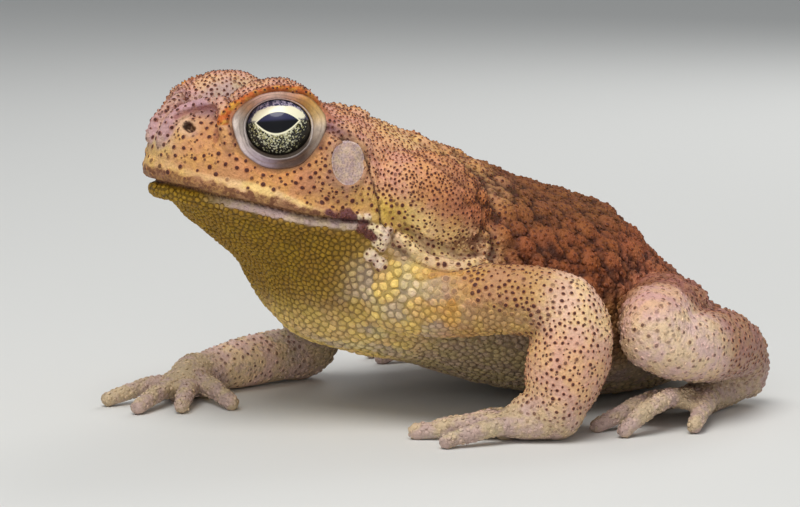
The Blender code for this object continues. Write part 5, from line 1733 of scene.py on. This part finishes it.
class ToadSizes(PropertyGroup):
    """Sizes that the pieces are built by."""

    cell: FloatProperty(name="Cell", description="Cell of the grid that the skin is remade on, in mm",
                        default=0.36, min=0.2, max=2.0)
    skin_triangles: IntProperty(name="Skin triangles", description="Triangles kept in the skin",
                                default=196000, min=10000)
    relax_rounds: IntProperty(name="Relax rounds", description="Rounds of smoothing of the skin",
                              default=14, min=0)
    wart_height: FloatProperty(name="Wart height", subtype="FACTOR", default=0.5, min=0.0, max=1.5,
                               description="Height of a wart as a share of its radius")
    granule_spacing: FloatProperty(name="Granule spacing", subtype="FACTOR", default=1.0, min=0.5,
                                   max=4.0, description="Room between granules, as a factor")


class ToadColours(PropertyGroup):
    """Colours that stand in more than one place."""

    dark_tip: FloatVectorProperty(name="Dark tip", description="Horny tips of the granules",
                                  subtype="COLOR", default=DARK_TIP, min=0.0, max=1.0)
    brown: FloatVectorProperty(name="Brown", description="Blotches of the lip and the gland",
                               subtype="COLOR", default=BROWN, min=0.0, max=1.0)
    iris_gold: FloatVectorProperty(name="Iris gold", description="Flecks of the iris",
                                   subtype="COLOR", default=(0.30, 0.27, 0.10), min=0.0, max=1.0)
    iris_pale: FloatVectorProperty(name="Iris pale", description="Palest flecks of the iris",
                                   subtype="COLOR", default=(0.68, 0.66, 0.46), min=0.0, max=1.0)
    iris_cream: FloatVectorProperty(name="Iris cream", description="Band over the pupil",
                                    subtype="COLOR", default=(0.95, 0.90, 0.66), min=0.0, max=1.0)
    floor: FloatVectorProperty(name="Floor", description="Floor and backdrop", subtype="COLOR",
                               default=(0.72, 0.72, 0.70), min=0.0, max=1.0)


def dress(piece, material, nodes):
    """Give a piece its material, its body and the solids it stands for."""
    piece.data.materials.clear()
    piece.data.materials.append(material)
    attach(piece, "root")
    if nodes:
        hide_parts(*nodes)


class TOAD_OT_skin(Operator):
    """Build the skin and the granules that stand on it."""

    bl_idname = "toad.skin"
    bl_label = "Skin and granules"

    def execute(self, context):
        sizes, colours = context.scene.toad_sizes, context.scene.toad_colours
        parts = make_skin(sizes)
        dress(parts[0], skin_material("skin", colours, False), FLESH)
        material = skin_material("granules", colours, True)
        for piece in make_granules(parts, sizes):
            dress(piece, material, ())
        return {"FINISHED"}


class TOAD_OT_eyes(Operator):
    """Build both eyeballs and the rings of lids round them."""

    bl_idname = "toad.eyes"
    bl_label = "Eyes and lids"

    def execute(self, context):
        skin = bpy.data.objects["toad_skin"]
        eye, lid = eye_material("eye", context.scene.toad_colours), lid_material("lids")
        for word, side in (("left", 1.0), ("right", -1.0)):
            dress(make_eyeball("eyeball_" + word, side), eye, ("eye_" + word,))
            dress(make_ring("lids_" + word, side, skin), lid, ())
        return {"FINISHED"}


class TOAD_OT_eardrums(Operator):
    """Build both eardrums."""

    bl_idname = "toad.eardrums"
    bl_label = "Eardrums"

    def execute(self, context):
        skin = bpy.data.objects["toad_skin"]
        material = drum_material("eardrum")
        for word, side in (("left", 1.0), ("right", -1.0)):
            dress(make_eardrum("drum_" + word, side, skin), material, ("eardrum_" + word,))
        return {"FINISHED"}


class TOAD_OT_stage(Operator):
    """Build the floor, the lights, the world and the camera."""

    bl_idname = "toad.stage"
    bl_label = "Stage"

    def execute(self, context):
        scene = context.scene
        make_floor(scene.toad_colours)
        make_lights()
        make_camera(scene)
        scene.view_settings.view_transform = "Standard"
        return {"FINISHED"}


def make_floor(colours):
    """A plain pale floor just under the toad's soles, its sizes in millimetres."""
    half = 500 * FLOOR_SIZE
    low = -FLOOR_SINK
    points = ((-half, -half, low), (half, -half, low), (half, half, low), (-half, half, low))
    floor = mesh_object("floor", points, ((0, 1, 2), (0, 2, 3)))
    floor.data.materials.append(plain_material("floor", colours.floor, 0.75))


def make_lights():
    """Soft lamps and an even pale sky."""
    for name, place, aim, size, power, colour, mirrored in LIGHTS:
        lamp = bpy.data.lights.new(name, "AREA")
        lamp.shape = "DISK"
        lamp.size = size
        lamp.energy = power
        lamp.color = colour
        holder = bpy.data.objects.new(name, lamp)
        holder.location = place
        holder.visible_glossy = mirrored
        holder.rotation_euler = (Vector(aim) - Vector(place)).to_track_quat("-Z", "Y").to_euler()
        bpy.context.scene.collection.objects.link(holder)
    world = bpy.data.worlds.new("sky")
    world.use_nodes = True
    sky = world.node_tree.nodes["Background"]
    sky.inputs["Color"].default_value, sky.inputs["Strength"].default_value = SKY
    bpy.context.scene.world = world


def make_camera(scene):
    """A long lens from the photograph's side."""
    camera = bpy.data.cameras.new("camera")
    camera.lens = LENS
    camera.sensor_width = 36.0
    camera.clip_start = 0.05
    camera.clip_end = 20.0
    camera.dof.use_dof = False
    holder = bpy.data.objects.new("camera", camera)
    holder.location = CAMERA_PLACE
    holder.rotation_euler = (-Vector(EYE_AXIS)).to_track_quat("-Z", "Y").to_euler()
    scene.collection.objects.link(holder)
    scene.camera = holder


class TOAD_PT_panel(Panel):
    """The toad's pieces, in the sidebar of the 3D view."""

    bl_idname = "TOAD_PT_panel"
    bl_label = "Cane toad"
    bl_space_type = "VIEW_3D"
    bl_region_type = "UI"
    bl_category = "Toad"

    def draw(self, context):
        for group in (context.scene.toad_sizes, context.scene.toad_colours):
            for name in group.__annotations__:
                self.layout.prop(group, name)
        for operator in (TOAD_OT_skin, TOAD_OT_eyes, TOAD_OT_eardrums, TOAD_OT_stage):
            self.layout.operator(operator.bl_idname)


CLASSES = (ToadSizes, ToadColours, TOAD_OT_skin, TOAD_OT_eyes, TOAD_OT_eardrums, TOAD_OT_stage,
           TOAD_PT_panel)


def register():
    """Register the classes and hang the two groups on the scene."""
    for kind in CLASSES:
        bpy.utils.register_class(kind)
    bpy.types.Scene.toad_sizes = PointerProperty(type=ToadSizes)
    bpy.types.Scene.toad_colours = PointerProperty(type=ToadColours)


def unregister():
    """Undo register."""
    del bpy.types.Scene.toad_colours
    del bpy.types.Scene.toad_sizes
    for kind in reversed(CLASSES):
        bpy.utils.unregister_class(kind)


def main():
    """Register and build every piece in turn."""
    register()
    bpy.ops.toad.skin()
    bpy.ops.toad.eyes()
    bpy.ops.toad.eardrums()
    bpy.ops.toad.stage()


if __name__ == "__main__":
    main()
